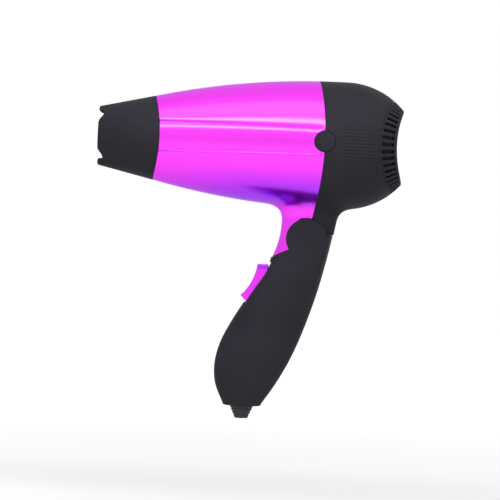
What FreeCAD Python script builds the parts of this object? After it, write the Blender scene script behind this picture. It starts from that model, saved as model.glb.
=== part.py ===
import FreeCAD, Part

import os
import re

import Sketcher

# A folding travel hair dryer, in millimetres.  The origin lies on the barrel's axis where the
# side caps sit.  +X points to the air intake, -X to the nozzle, +Z up, and the handle hangs
# down along -Z from a hinge whose axis runs along Y.

V = FreeCAD.Vector
Rotation = FreeCAD.Rotation

SIZES = {
    # barrel
    "barrel_radius": 38.1,      # at the crown
    "crown_front": 4.9,         # the straight crown starts here
    "crown_rear": 12.9,         # and ends here
    "outlet_x": 96.9,           # how far in front of the origin the shell ends
    "outlet_radius": 26.2,      # shell radius there
    "rear_x": 47.7,             # rear rim
    "rear_radius": 22.2,        # rim radius
    "shell_wall": 2.0,
    "seam_gap": 0.2,            # shadow line between the covers
    "parting_curve": 211.4,     # radius of the seam between front and rear shell
    "outlet_curve": 79.0,       # radius of the seam between nozzle and front shell
    # rear grille
    "grille_x": 32.0,           # front edge of the grille, on the barrel's mid-height
    "grille_curve": 46.3,
    "dish_x": 42.5,             # deepest point of the hollow rear face
    "dish_curve": 50.0,
    "grille_slots": 48,
    "slot_width": 2.2,
    "slot_margin": 1.3,
    "plate_slots": 16,
    "plate_slot_inner": 8.5,
    "plate_slot_outer": 16.5,
    "collar_wall": 1.4,
    "collar_length": 5.0,
    "mesh_thickness": 0.6,
    "mesh_hole": 1.5,
    # nozzle
    "nozzle_tip": 134.4,
    "mouth_half_height": 17.6,
    "mouth_half_width": 9.0,
    "nozzle_wall": 1.6,
    "fit_gap": 0.3,             # clearance between parts that slip over each other
    "spigot_length": 10.0,
    "spigot_step": 4.2,         # how much smaller the spigot is than the shell
    "spigot_wall": 1.8,
    "tongue_half": 7.7,
    "notch_half": 13.7,
    "notch_depth": 3.2,
    "horn_half": 14.8,
    # side screws and caps
    "cap_radius": 6.1,
    "cap_gap": 0.3,
    "cap_face": 38.2,
    "tab_face": 35.5,
    "tab_thickness": 2.0,
    "boss_radius": 5.0,
    "case_screw_radius": 1.45,
    "case_screw_length": 5.6,
    # fan duct and impeller
    "duct_radius": 29.0,
    "duct_wall": 1.5,
    "duct_rear": 25.0,
    "duct_front": 12.0,
    "duct_vanes": 6,
    "vane_thickness": 1.4,
    "throat_x": 34.0,
    "collar_x": 42.0,
    "fan_radius": 27.0,
    "fan_front": 11.0,
    "fan_rear": 23.0,
    "fan_hub": 11.5,
    "fan_blades": 7,
    # motor
    "motor_radius": 13.8,
    "motor_wall": 1.0,
    "motor_rear": 6.0,
    "motor_length": 32.0,
    "cup_wall": 1.5,
    "cup_gap": 0.2,
    "shaft_radius": 1.0,
    "shaft_front": 28.0,
    "shaft_rear": 21.0,
    "bearing_radius": 3.0,
    "bearing_length": 3.0,
    "core_radius": 10.6,
    "core_slots": 5,
    "commutator_radius": 2.6,
    "running_gap": 0.05,
    # heater
    "shield_radius": 23.4,
    "shield_wall": 0.6,
    "shield_front": 93.2,
    "mica_thickness": 0.8,
    "mica_half": 22.3,
    "mica_front": 90.0,
    "mica_rear": 40.0,
    "mica_fit": 0.25,
    "coil_radius": 20.9,
    "coil_wire": 0.8,
    "coil_turns": 8,
    "coil_pitch": 6.0,
    "coil_front": 86.0,
    "outlet_grille_thickness": 2.0,
    "outlet_grille_spokes": 8,
    # hinge
    "hinge_x": -7.8,
    "hinge_z": -56.9,
    "shoulder_reach": 10.2,     # where the front shoulder leaves the ear
    "shoulder_front": 6.8,
    "shoulder_slope": 0.4516,
    "shoulder_rear": 3.0,
    "ear_radius": 12.0,
    "ear_gap": 0.4,
    "ear_inner": 10.8,
    "cheek_outer": 15.2,
    "recess_floor": 10.5,
    "tongue_half_width": 12.0,
    "journal_radius": 6.0,
    "journal_end": 7.6,
    "bush_wall": 1.1,
    "tongue_radius": 13.5,
    "lip_radius": 22.4,
    "lip_half_width": 7.6,
    "lip_root_radius": 18.0,
    "lip_root_half_width": 10.0,
    "lip_angle": 209.5,
    "fold_angle": 65.0,
    "fold_margin": 6.0,
    "neck_wall": 2.6,
    "neck_bore_half": 8.0,
    "washer_thickness": 0.2,
    # handle
    "grip_wall": 2.2,
    "grip_screw_radius": 1.25,
    "grip_boss_radius": 3.4,
    "screw_head_radius": 2.6,
    "wire_bore": 4.6,
    "gland_x": -41.9,
    "gland_top_radius": 7.2,
    "gland_tip_radius": 3.9,
    "gland_bore": 2.7,
    "gland_drop": 7.5,
    "gland_flange": 1.4,
    "gland_flange_radius": 8.0,
    # rocker switch
    "rocker_x": -34.2,
    "rocker_z": -87.6,
    "rocker_tilt": 33.2,
    "rocker_half": 7.0,
    "rocker_pin_radius": 1.5,
    "rocker_gap": 0.4,
    "switch_depth": 11.0,
    "switch_half_height": 8.0,
    "switch_half_width": 6.0,
    # wiring
    "wire_radius": 1.0,
    "wire_pitch": 2.5,
}

# Level, front edge, rear edge and half width of each oval section of the neck and of the grip.
NECK = ((-32.0, -37.5, 29.0, 15.5), (-37.4, -29.5, 20.0, 13.2), (-40.4, -24.9, 14.2, 12.3),
        (-45.0, -22.6, 10.5, 12.0), (-57.0, -23.7, 8.3, 12.0), (-70.0, -28.2, 6.2, 12.0))
GRIP = ((-50.0, -24.3, 9.2, 15.2), (-66.0, -27.6, 6.0, 15.3), (-76.0, -30.2, 3.7, 15.5),
        (-86.0, -36.6, 1.2, 15.6), (-97.0, -43.8, -2.0, 15.6), (-108.0, -50.3, -5.6, 15.5),
        (-120.0, -56.1, -10.0, 15.2), (-132.0, -59.1, -15.3, 14.4), (-145.0, -58.4, -22.4, 12.2),
        (-158.0, -52.9, -31.0, 8.6))
for family, table in (("neck", NECK), ("grip", GRIP)):
    for number, section in enumerate(table, 1):
        for column, number_value in zip(("level", "front", "rear", "half"), section):
            SIZES[f"{family}_{column}_{number}"] = number_value

doc = FreeCAD.newDocument("hair_dryer")
sheet = doc.addObject("Spreadsheet::Sheet", "sizes")
for row, (alias, number_value) in enumerate(SIZES.items(), 1):
    sheet.set(f"A{row}", alias.replace("_", " "))
    sheet.set(f"B{row}", str(number_value))
    sheet.setAlias(f"B{row}", alias)
doc.recompute()

PARTS = []
REACH = "(2 * barrel_radius)"
HALF = {"left": "-1", "right": "1"}


# ---- formulas, sketches and solids bound to the sheet ----

def value(formula):
    """The number that FORMULA gives with the sheet's sizes."""
    return float(sheet.evalExpression(formula))


def bind(thing, name, formula):
    """Tie a property to a formula written with the sheet's aliases."""
    thing.setExpression(name, re.sub(r"\b[a-z]+_\w+", r"sizes.\g<0>", formula))


def curved(start, end, radius, side):
    """The arc from START to END that bulges to the left (side 1) or right (side -1)."""
    chord = end - start
    middle = (start + end) * 0.5
    sagitta = radius - (radius ** 2 - (chord.Length / 2) ** 2) ** 0.5
    left = V(-chord.y, chord.x, 0).normalize()
    return Part.Arc(start, middle + left * (side * sagitta), end)


def pin_down(sketch, edge, point, across, up):
    """Hold one point of an edge at (across, up) from the sketch's origin."""
    for kind, formula in (("DistanceX", across), ("DistanceY", up)):
        index = sketch.addConstraint(Sketcher.Constraint(kind, -1, 1, edge, point, value(formula)))
        sketch.renameConstraint(index, f"{kind}_{edge}")
        bind(sketch, f"Constraints.{kind}_{edge}", formula)


def draw_circle(sketch, across, up, radius):
    centre = V(value(across), value(up), 0)
    edge = sketch.addGeometry(Part.Circle(centre, V(0, 0, 1), value(radius)), False)
    pin_down(sketch, edge, 3, across, up)
    index = sketch.addConstraint(Sketcher.Constraint("Radius", edge, value(radius)))
    sketch.renameConstraint(index, f"Radius_{edge}")
    bind(sketch, f"Constraints.Radius_{edge}", radius)


def draw_loop(sketch, points, closed=True):
    """Lines and arcs through POINTS: (across, up), or (across, up, radius, side) where the
    edge that leaves the point is an arc."""
    spots = [V(value(point[0]), value(point[1]), 0) for point in points]
    ends = []
    last = len(points) if closed else len(points) - 1
    for k in range(last):
        start = spots[k]
        end = spots[(k + 1) % len(spots)]
        shape = Part.LineSegment(start, end)
        if len(points[k]) > 2:
            shape = curved(start, end, value(points[k][2]), points[k][3])
        edge = sketch.addGeometry(shape, False)
        forward = sketch.getPoint(edge, 1).distanceToPoint(start) < 1e-6
        ends.append((edge, 1, 2) if forward else (edge, 2, 1))
    for k, (edge, first, second) in enumerate(ends):
        pin_down(sketch, edge, first, points[k][0], points[k][1])
        if closed or k < last - 1:
            following = ends[(k + 1) % len(ends)]
            sketch.addConstraint(
                Sketcher.Constraint("Coincident", edge, second, following[0], following[1]))
        if len(points[k]) > 2:
            index = sketch.addConstraint(
                Sketcher.Constraint("Radius", edge, value(points[k][2])))
            sketch.renameConstraint(index, f"Radius_{edge}")
            bind(sketch, f"Constraints.Radius_{edge}", points[k][2])
    if not closed:
        index = sketch.addConstraint([
            Sketcher.Constraint("DistanceX", -1, 1, ends[-1][0], ends[-1][2],
                                value(points[-1][0])),
            Sketcher.Constraint("DistanceY", -1, 1, ends[-1][0], ends[-1][2],
                                value(points[-1][1]))])
        for kind, formula, place in zip(("across", "up"), points[-1], index):
            sketch.renameConstraint(place, f"end_{kind}")
            bind(sketch, f"Constraints.end_{kind}", formula)


def draw(sketch, loops):
    """Fill a sketch with loops; a loop of three formulas is a circle."""
    for loop in loops:
        if isinstance(loop[0], str):
            draw_circle(sketch, *loop)
        else:
            draw_loop(sketch, loop)


def side_sketch(*loops):
    """A sketch in the X-Z plane, outside any body."""
    sketch = doc.addObject("Sketcher::SketchObject", "side_outline")
    sketch.Placement = FreeCAD.Placement(V(), Rotation(V(1, 0, 0), 90))
    draw(sketch, loops)
    return sketch


def slab(points, low, high):
    """An outline in X-Z, carried along Y from LOW to HIGH."""
    sketch = side_sketch(points)
    bind(sketch, "Placement.Base.y", low)
    solid = doc.addObject("Part::Extrusion", "slab")
    solid.Base = sketch
    solid.DirMode = "Custom"
    solid.Dir = V(0, 1, 0)
    solid.Solid = True
    bind(solid, "LengthFwd", f"({high}) - ({low})")
    return solid


def turning(points):
    """An outline in X-Z, turned about the barrel's axis."""
    solid = doc.addObject("Part::Revolution", "turning")
    solid.Source = side_sketch(points)
    solid.Axis = V(1, 0, 0)
    solid.Angle = 360
    solid.Solid = True
    return solid


def move(solid, **at):
    for axis, formula in at.items():
        bind(solid, f"Placement.Base.{axis}", formula)
    return solid


TURN = {"x": Rotation(V(0, 1, 0), 90), "y": Rotation(V(1, 0, 0), -90), "z": Rotation()}


def rod(along, radius, low, high, **at):
    """A cylinder along an axis, from LOW to HIGH, centred on the other two coordinates."""
    solid = doc.addObject("Part::Cylinder", "rod")
    solid.Placement = FreeCAD.Placement(V(), TURN[along])
    bind(solid, "Radius", radius)
    bind(solid, "Height", f"({high}) - ({low})")
    return move(solid, **{along: low}, **at)


def box(left, right, front, back, bottom, top):
    solid = doc.addObject("Part::Box", "box")
    bind(solid, "Length", f"({right}) - ({left})")
    bind(solid, "Width", f"({back}) - ({front})")
    bind(solid, "Height", f"({top}) - ({bottom})")
    return move(solid, x=left, y=front, z=bottom)


def fuse(*solids):
    result = doc.addObject("Part::MultiFuse", "fused")
    result.Shapes = list(solids)
    return result


def cut(base, *tools):
    result = doc.addObject("Part::Cut", "cut")
    result.Base = base
    result.Tool = tools[0] if len(tools) == 1 else fuse(*tools)
    return result


def common(*solids):
    result = doc.addObject("Part::MultiCommon", "common")
    result.Shapes = list(solids)
    return result


def group(*solids):
    result = doc.addObject("Part::Compound", "group")
    result.Links = list(solids)
    return result


def fin(low, high, width, inner, outer, count, k):
    """A radial plate about the barrel's axis, the K-th of COUNT evenly spaced ones."""
    solid = doc.addObject("Part::Box", "fin")
    solid.Placement = FreeCAD.Placement(V(), Rotation(V(1, 0, 0), 360 / value(count) * k))
    bind(solid, "Length", f"({high}) - ({low})")
    bind(solid, "Width", width)
    bind(solid, "Height", f"({outer}) - ({inner})")
    turn = f"(360 / {count} * {k})"
    return move(solid, x=low,
                y=f"-({width}) / 2 * cos{turn} - ({inner}) * sin{turn}",
                z=f"({inner}) * cos{turn} - ({width}) / 2 * sin{turn}")


def fins(low, high, width, inner, outer, count):
    return [fin(low, high, width, inner, outer, count, k) for k in range(int(value(count)))]


def tube(along, outer, inner, low, high, **at):
    bore = rod(along, inner, f"({low}) - 1", f"({high}) + 1", **at)
    return cut(rod(along, outer, low, high, **at), bore)


def oval(normal, level, centre, major, minor):
    """An ellipse across Z (long axis along X) or across X (long axis along Z)."""
    curve = doc.addObject("Part::Ellipse", "oval")
    if normal == "x":
        curve.Placement = FreeCAD.Placement(V(), Rotation(V(0, 1, 0), -90))
    # the radii start far apart, because the long one may never be the smaller
    curve.MajorRadius = 1000
    bind(curve, "MinorRadius", minor)
    bind(curve, "MajorRadius", major)
    if normal == "x":
        return move(curve, x=level)
    return move(curve, x=centre, z=level)


def loft(*sections):
    solid = doc.addObject("Part::Loft", "loft")
    solid.Sections = list(sections)
    solid.Solid = True
    return solid


def stations(family, numbers, inset="0", half=None):
    """A loft through the numbered oval sections of the neck or the grip, INSET mm inside."""
    ovals = []
    for k in numbers:
        front = f"{family}_front_{k}"
        rear = f"{family}_rear_{k}"
        ovals.append(oval("z", f"{family}_level_{k}", f"({front} + {rear}) / 2",
                          f"({rear} - {front}) / 2 - ({inset})",
                          half or f"{family}_half_{k} - ({inset})"))
    return loft(*ovals)


def wire(points, across):
    """A round wire along a path in a plane of constant Y, with rounded corners."""
    path = doc.addObject("Sketcher::SketchObject", "wire_path")
    path.Placement = FreeCAD.Placement(V(), Rotation(V(1, 0, 0), 90))
    draw_loop(path, points, closed=False)
    bind(path, "Placement.Base.y", across)
    first = [V(value(x), value(across), value(z)) for x, z in points[:2]]
    ring = doc.addObject("Part::Circle", "wire_section")
    ring.Placement = FreeCAD.Placement(first[0], Rotation(V(0, 0, 1), first[1] - first[0]))
    bind(ring, "Radius", "wire_radius")
    solid = doc.addObject("Part::Sweep", "wire")
    solid.Sections = [ring]
    solid.Spine = (path, [f"Edge{k}" for k in range(1, len(points))])
    solid.Solid = True
    solid.Transition = "Round corner"
    return solid


def screw(x, z, head_face, shank_end, head_radius, shank_radius, side):
    """A pan-head screw along Y, with a cross recess; SIDE is 1 when its head faces +Y."""
    seat = f"({head_face}) - 1.6"
    head = rod("y", head_radius, seat, head_face, x=x, z=z)
    shank = rod("y", shank_radius, shank_end, f"({seat}) + 0.4", x=x, z=z)
    blades = [box(f"({x}) - {a}", f"({x}) + {a}", f"({head_face}) - 0.9", f"({head_face}) + 1",
                  f"({z}) - {b}", f"({z}) + {b}") for a, b in (("1.5", "0.3"), ("0.3", "1.5"))]
    solid = cut(fuse(head, shank), *blades)
    if side > 0:
        return solid
    mirrored = doc.addObject("Part::Mirroring", "mirrored")
    mirrored.Source = solid
    mirrored.Normal = V(0, 1, 0)
    return mirrored


def keep(solid, label):
    """Name a finished sub-part."""
    solid.Label = label
    PARTS.append(solid)
    return solid


# ---- PartDesign bodies ----

def new_body(label):
    return keep(doc.addObject("PartDesign::Body", label), label)


def origin_feature(body, role):
    return next(item for item in body.Origin.OriginFeatures if item.Role == role)


def feature(body, kind, role, loops, lift="0"):
    """Add a sketch on one of the body's origin planes and the feature that uses it."""
    sketch = body.newObject("Sketcher::SketchObject", "outline")
    sketch.AttachmentSupport = [(origin_feature(body, role), "")]
    sketch.MapMode = "FlatFace"
    bind(sketch, "AttachmentOffset.Base.z", lift)
    draw(sketch, loops)
    made = body.newObject(f"PartDesign::{kind}", kind.lower())
    made.Profile = sketch
    return made, sketch


def turned(body, kind, *loops):
    """A Revolution or a Groove about the barrel's axis."""
    made, sketch = feature(body, kind, "XZ_Plane", loops)
    made.ReferenceAxis = (sketch, ["H_Axis"])
    made.Angle = 360
    body.Tip = made
    return made


def pushed(body, kind, role, length, *loops, lift="0", side="Symmetric", back=False):
    """A Pad or a Pocket of a sketch."""
    made, _ = feature(body, kind, role, loops, lift)
    made.SideType = side
    made.Reversed = back
    bind(made, "Length", length)
    body.Tip = made
    return made


def repeat_round(body, made, axis, count):
    pattern = body.newObject("PartDesign::PolarPattern", "pattern")
    pattern.Originals = [made]
    pattern.Axis = (origin_feature(body, axis), [""])
    pattern.Angle = 360
    bind(pattern, "Occurrences", count)
    body.Tip = pattern
    return pattern


def repeat_along(body, made, axis, length, count):
    pattern = body.newObject("PartDesign::LinearPattern", "pattern")
    pattern.Originals = [made]
    pattern.Direction = (origin_feature(body, axis), [""])
    bind(pattern, "Length", length)
    bind(pattern, "Occurrences", count)
    body.Tip = pattern
    return pattern


def rectangle(left, right, bottom, top):
    return ((left, bottom), (right, bottom), (right, top), (left, top))


# ---- the barrel's outline ----

def tangent_curve(run, drop):
    """Radius of the arc that leaves a straight line tangentially and drops DROP over RUN."""
    return f"((({run})^2 + ({drop})^2) / (2 * ({drop})))"


FRONT_CURVE = tangent_curve("crown_front + outlet_x", "barrel_radius - outlet_radius")
REAR_CURVE = tangent_curve("rear_x - crown_rear", "barrel_radius - rear_radius")


def skin_height(curve, tangent_x, x, inset):
    """Radius of the barrel at X on one of its two long arcs, INSET mm inside the surface."""
    return f"barrel_radius - {curve} + sqrt(({curve} - ({inset}))^2 - (({x}) - {tangent_x})^2)"


def barrel_solid(inset, front="-outlet_x - 6", rear="rear_x"):
    """The barrel as a filled solid, INSET mm inside its outer surface."""
    return turning((
        (front, "0"),
        (front, skin_height(FRONT_CURVE, "crown_front", front, inset),
         f"{FRONT_CURVE} - ({inset})", 1),
        ("crown_front", f"barrel_radius - ({inset})"),
        ("crown_rear", f"barrel_radius - ({inset})", f"{REAR_CURVE} - ({inset})", 1),
        (rear, skin_height(REAR_CURVE, "crown_rear", rear, inset)),
        (rear, "0")))


def barrel_wall(outer, inner):
    """The barrel's wall between two insets, open at both ends."""
    inside = barrel_solid(inner, "-outlet_x - 7", "rear_x + 1")
    return cut(barrel_solid(outer), inside)


def drum(centre, radius):
    """A wide cylinder across the barrel; its side is a curved seam."""
    return rod("y", radius, f"-{REACH}", REACH, x=centre, z="0")


def parting_drum(gap):
    return drum("-parting_curve", f"parting_curve + ({gap})")


def outlet_drum(gap):
    return drum("-outlet_x - outlet_curve", f"outlet_curve + ({gap})")


def grille_drum(gap):
    return drum("grille_x + grille_curve", f"grille_curve + ({gap})")


def dish_drum(gap):
    return drum("dish_x + dish_curve", f"dish_curve + ({gap})")


SPIGOT = "(outlet_radius - spigot_step)"


# ---- covers of the head ----

def nozzle():
    """The push-on concentrator: round at the spigot, a tall narrow slot at the mouth."""
    seat = "-outlet_x - spigot_length"
    bore = f"{SPIGOT} + fit_gap"
    waist = f"{bore} + nozzle_wall"
    outer = loft(oval("x", "-outlet_x", "0", "outlet_radius", "outlet_radius"),
                 oval("x", seat, "0", waist, waist),
                 oval("x", "-nozzle_tip", "0", "mouth_half_height", "mouth_half_width"))
    stop = f"{SPIGOT} - 1"
    inner = loft(oval("x", f"{seat} + 1", "0", stop, stop),
                 oval("x", "-nozzle_tip - 0.1", "0", "mouth_half_height - nozzle_wall",
                      "mouth_half_width - nozzle_wall"))
    socket = rod("x", bore, f"{seat} - fit_gap", "-outlet_x + 8", y="0", z="0")
    notches = []
    for sign in ("", "-"):
        points = (("-nozzle_tip - 1", f"{sign}tongue_half"), ("-nozzle_tip", f"{sign}tongue_half"),
                  ("notch_depth - nozzle_tip", f"{sign}notch_half"),
                  ("notch_depth - nozzle_tip", f"{sign}horn_half"),
                  ("-nozzle_tip - 1", f"{sign}horn_half"))
        notches.append(slab(points, f"-{REACH}", REACH))
    body = common(outer, outlet_drum("-seam_gap / 2"))
    return keep(cut(body, inner, socket, *notches), "nozzle")


def above_shoulders(gap):
    """All that lies above the sloping line where neck and handle meet, GAP mm lower."""
    front = f"hinge_z - shoulder_front - ({gap})"
    rear = f"hinge_z + shoulder_rear - ({gap})"
    return slab(((f"hinge_x - 4 * shoulder_reach", f"{front} - 3 * shoulder_reach * shoulder_slope"),
                 ("hinge_x - shoulder_reach", front), ("hinge_x + ear_radius", rear),
                 ("hinge_x + 4 * shoulder_reach", rear), ("hinge_x + 4 * shoulder_reach", "0"),
                 ("hinge_x - 4 * shoulder_reach", "0")), f"-{REACH}", REACH)


def neck_outline():
    """What the neck keeps of its loft: all above the shoulders and the round hidden end."""
    above = above_shoulders("0")
    end = rod("y", "tongue_radius", f"-{REACH}", REACH, x="hinge_x", z="hinge_z")
    return fuse(above, end)


def neck():
    """The hollow neck with the round recesses for the handle's ears and the bush holes."""
    solid = common(stations("neck", range(1, 7)), neck_outline())
    recesses = [rod("y", "ear_radius + ear_gap", low, high, x="hinge_x", z="hinge_z")
                for low, high in (("recess_floor", "30"), ("-30", "-recess_floor"))]
    bush_hole = rod("y", "journal_radius + running_gap + bush_wall + running_gap", "-30", "30",
                    x="hinge_x", z="hinge_z")
    return cut(solid, *recesses, bush_hole)


def neck_bore():
    """The passage for the wires, from the barrel down to the hinge and out below it."""
    passage = common(
        stations("neck", range(1, 7), "neck_wall", "neck_bore_half"),
        fuse(box("-80", "80", "-30", "30", "hinge_z", "0"),
             rod("y", "tongue_radius - neck_wall", "-30", "30", x="hinge_x", z="hinge_z")))
    mouth = box("hinge_x - 7", "hinge_x + 6", "-wire_bore", "wire_bore",
                "hinge_z - tongue_radius - 2", "hinge_z")
    return fuse(passage, mouth)


def head_shell():
    """Skin of the barrel with the neck, before it is parted into front and rear."""
    stem = cut(neck(), barrel_solid("shell_wall / 2"))
    chimney = box("hinge_x - 9", "hinge_x + 10", "1.5 - neck_bore_half", "neck_bore_half - 1.5",
                  "-barrel_radius - 5", "-duct_radius - 1")
    return cut(cut(fuse(barrel_wall("0", "shell_wall"), stem), neck_bore()), chimney)


def cap_wells(depth):
    """Round wells for the side caps, through both covers."""
    return fuse(*[rod("y", "cap_radius + cap_gap", low, high, x="0", z="0")
                  for low, high in ((depth, "60"), ("-60", f"-({depth})"))])


def spanned(sign, near, far):
    """The low and high ends of a span NEAR..FAR from the mid-plane, on one side."""
    if sign == "1":
        return near, far
    return f"-({far})", f"-({near})"


def support_ring(low, high):
    """A web between the fan duct and the shell's skin."""
    outer = turning((
        (low, "duct_radius + fit_gap"), (high, "duct_radius + fit_gap"),
        (high, "barrel_radius"), (low, "barrel_radius")))
    notch = box(f"({low}) - 1", f"({high}) + 1", "-neck_bore_half", "neck_bore_half",
                "-barrel_radius - 1", "0")
    return common(cut(outer, notch), barrel_solid("shell_wall - 0.4"))


def front_shell():
    """The metallic cover: skin, outlet spigot, screw tabs and half of the neck."""
    skin = cut(common(head_shell(), parting_drum("-seam_gap / 2")),
               outlet_drum("seam_gap / 2"), cap_wells("tab_face"))
    end = "-outlet_x - spigot_length"
    step = "fit_gap - outlet_x + 0.6"
    spigot = turning((
        (end, f"{SPIGOT} - spigot_wall"), (end, SPIGOT), (step, SPIGOT),
        (step, "outlet_radius - 0.7"), (f"{step} + 2", "outlet_radius - 0.7"),
        (f"{step} + 4.5", "shield_radius + fit_gap + 1"),
        (f"{step} + 4.5", "shield_radius + fit_gap"),
        (f"{step} + 2", "shield_radius + fit_gap"), (f"{step} + 2", f"{SPIGOT} - spigot_wall")))
    tabs = []
    for sign in HALF.values():
        low, high = spanned(sign, "tab_face - tab_thickness", "tab_face")
        tabs.append(rod("y", "cap_radius - 0.1", low, high, x="0", z="0"))
        low, high = spanned(sign, "tab_face - tab_thickness", "barrel_radius - 0.8")
        tabs.append(box("-11", "-cap_radius - 0.6", low, high, "-4", "4"))
        low, high = spanned(sign, "tab_face - tab_thickness", "tab_face")
        tabs.append(box("-11", "-3", low, high, "-4", "4"))
    holes = rod("y", "case_screw_radius + 0.15", f"-{REACH}", REACH, x="0", z="0")
    body = fuse(skin, spigot, support_ring("-10", "-8"), *tabs)
    return keep(cut(body, holes), "front_shell")


def rear_shell():
    """The soft-touch cover: skin, screw bosses and the rear half of the neck."""
    skin = cut(head_shell(), parting_drum("seam_gap / 2"), grille_drum("seam_gap"),
               cap_wells("tab_face"))
    top = "tab_face - tab_thickness - 0.1"
    bosses = []
    for sign in HALF.values():
        low, high = spanned(sign, "duct_radius + fit_gap", top)
        bosses.append(rod("y", "boss_radius", low, high, x="0", z="0"))
        bosses.append(box("0", "10", low, high, "-4", "4"))
        low, high = spanned(sign, "duct_radius + fit_gap", "barrel_radius - 0.8")
        bosses.append(box("cap_radius + 0.7", "11", low, high, "-4", "4"))
    holes = rod("y", "case_screw_radius + running_gap", f"-{REACH}", REACH, x="0", z="0")
    body = fuse(skin, support_ring("14", "16"), *bosses)
    return keep(cut(body, holes), "rear_shell")


def rear_grille():
    """The intake cap: ribs along the barrel, a hollow rear face with slots, a collar."""
    blades = fins("grille_x - 5", "rear_x + 5", "slot_width", "rear_radius / 2", REACH,
                  "grille_slots")
    window = cut(grille_drum("-seam_gap - 0.6"), dish_drum("slot_margin"),
                 barrel_solid("shell_wall", "0", "rear_x + 1"))
    slots = common(group(*blades), window)
    skin = common(barrel_wall("0", "shell_wall"), grille_drum("0"))
    collar_outer = "shell_wall + fit_gap"
    collar = common(barrel_wall(collar_outer, f"{collar_outer} + collar_wall"),
                    box("grille_x - collar_length", "dish_x", f"-{REACH}", REACH,
                        f"-{REACH}", REACH))
    tie = common(barrel_wall("shell_wall - 0.5", f"{collar_outer} + 0.5"),
                 cut(grille_drum("0"), grille_drum("-3")))
    plate = common(barrel_solid("0.5"), dish_drum("shell_wall"))
    plate_slots = fins("dish_x - 6", "rear_x + 3", "slot_width", "plate_slot_inner",
                       "plate_slot_outer", "plate_slots")
    body = cut(fuse(skin, collar, tie, plate), dish_drum("0"))
    return keep(cut(cut(body, group(*plate_slots)), slots), "rear_grille")


def inlet_mesh():
    """A fine perforated disc between the grille's collar and the fan."""
    body = new_body("inlet_mesh")
    front = "grille_x - collar_length - mesh_thickness - running_gap"
    rim = skin_height(REAR_CURVE, "crown_rear", front, "shell_wall + fit_gap")
    pushed(body, "Pad", "YZ_Plane", "mesh_thickness", ("0", "0", rim), lift=front,
           side="One side")
    for ring, count in ((7, 10), (13, 18), (19, 26), (25, 34)):
        hole = pushed(body, "Pocket", "YZ_Plane", "4 * grille_x",
                      (str(ring), "0", "mesh_hole"))
        repeat_round(body, hole, "X_Axis", str(count))


def side_cap(side):
    """The round cap that hides a case screw."""
    sign = HALF[side]
    low, high = spanned(sign, "tab_face + 0.1", "cap_face")
    hollow_low, hollow_high = spanned(sign, "tab_face", "cap_face - 0.9")
    disc = rod("y", "cap_radius", low, high, x="0", z="0")
    hollow = rod("y", "cap_radius - 1.2", hollow_low, hollow_high, x="0", z="0")
    keep(cut(disc, hollow), f"side_cap_{side}")


def case_screws():
    screws = [screw("0", "0", "tab_face + 1.6", "tab_face + 1.6 - case_screw_length",
                    "2.8", "case_screw_radius", int(sign)) for sign in HALF.values()]
    keep(group(*screws), "case_screws")


def outlet_grille():
    """Rings and spokes across the hot air outlet."""
    body = new_body("outlet_grille")
    front = "-outlet_x - spigot_length + 0.4"
    rear = f"{front} + outlet_grille_thickness"
    outer = f"{SPIGOT} - spigot_wall - running_gap"
    turned(body, "Revolution", rectangle(front, rear, f"{outer} - 1.4", outer))
    spoke = pushed(body, "Pad", "YZ_Plane", "outlet_grille_thickness",
                   rectangle("-0.6", "0.6", "0", f"{outer} - 1"), lift=front, side="One side")
    repeat_round(body, spoke, "X_Axis", "outlet_grille_spokes")
    for ring in ("4.5", "9.5", "14.5"):
        turned(body, "Revolution", rectangle(front, rear, f"{ring} - 0.6", f"{ring} + 0.6"))
    turned(body, "Revolution", rectangle(front, rear, "0", "1.6"))


# ---- fan, duct and motor ----

MOTOR_FRONT = "(motor_rear - motor_length)"
CUP = "(motor_radius + cup_gap)"


def fan_duct():
    """The shroud round the impeller, with vanes that hold the motor cup."""
    throat = "shield_radius + fit_gap"
    ring = turning((
        ("duct_rear", "duct_radius"), ("duct_rear", "duct_radius - duct_wall"),
        ("-duct_front", "duct_radius - duct_wall"), ("-throat_x", f"{throat} - 1.2"),
        ("-throat_x - 2", f"{throat} - 1.2"), ("-throat_x - 2", throat),
        ("-collar_x", throat), ("-collar_x", f"{throat} + duct_wall"),
        ("-throat_x", f"{throat} + duct_wall"), ("-duct_front", "duct_radius")))
    face = "motor_rear + running_gap"
    cup = turning((
        ("motor_rear - 16", CUP), (face, CUP), (face, "5.2"), (f"{face} + cup_wall", "5.2"),
        (f"{face} + cup_wall", f"{CUP} + cup_wall"), ("motor_rear - 16", f"{CUP} + cup_wall")))
    vanes = fins("motor_rear - 14", "motor_rear + 1", "vane_thickness", f"{CUP} + cup_wall / 2",
                 "duct_radius - duct_wall / 2", "duct_vanes")
    holes = [rod("x", "1.4", "motor_rear - 1", "motor_rear + 4", y="0", z=level)
             for level in ("8", "-8")]
    wire_hole = box("-26", "-20", "-wire_bore", "wire_bore", "-duct_radius", "-20")
    keep(cut(fuse(ring, cup, *vanes), *holes, wire_hole), "fan_duct")


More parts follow.
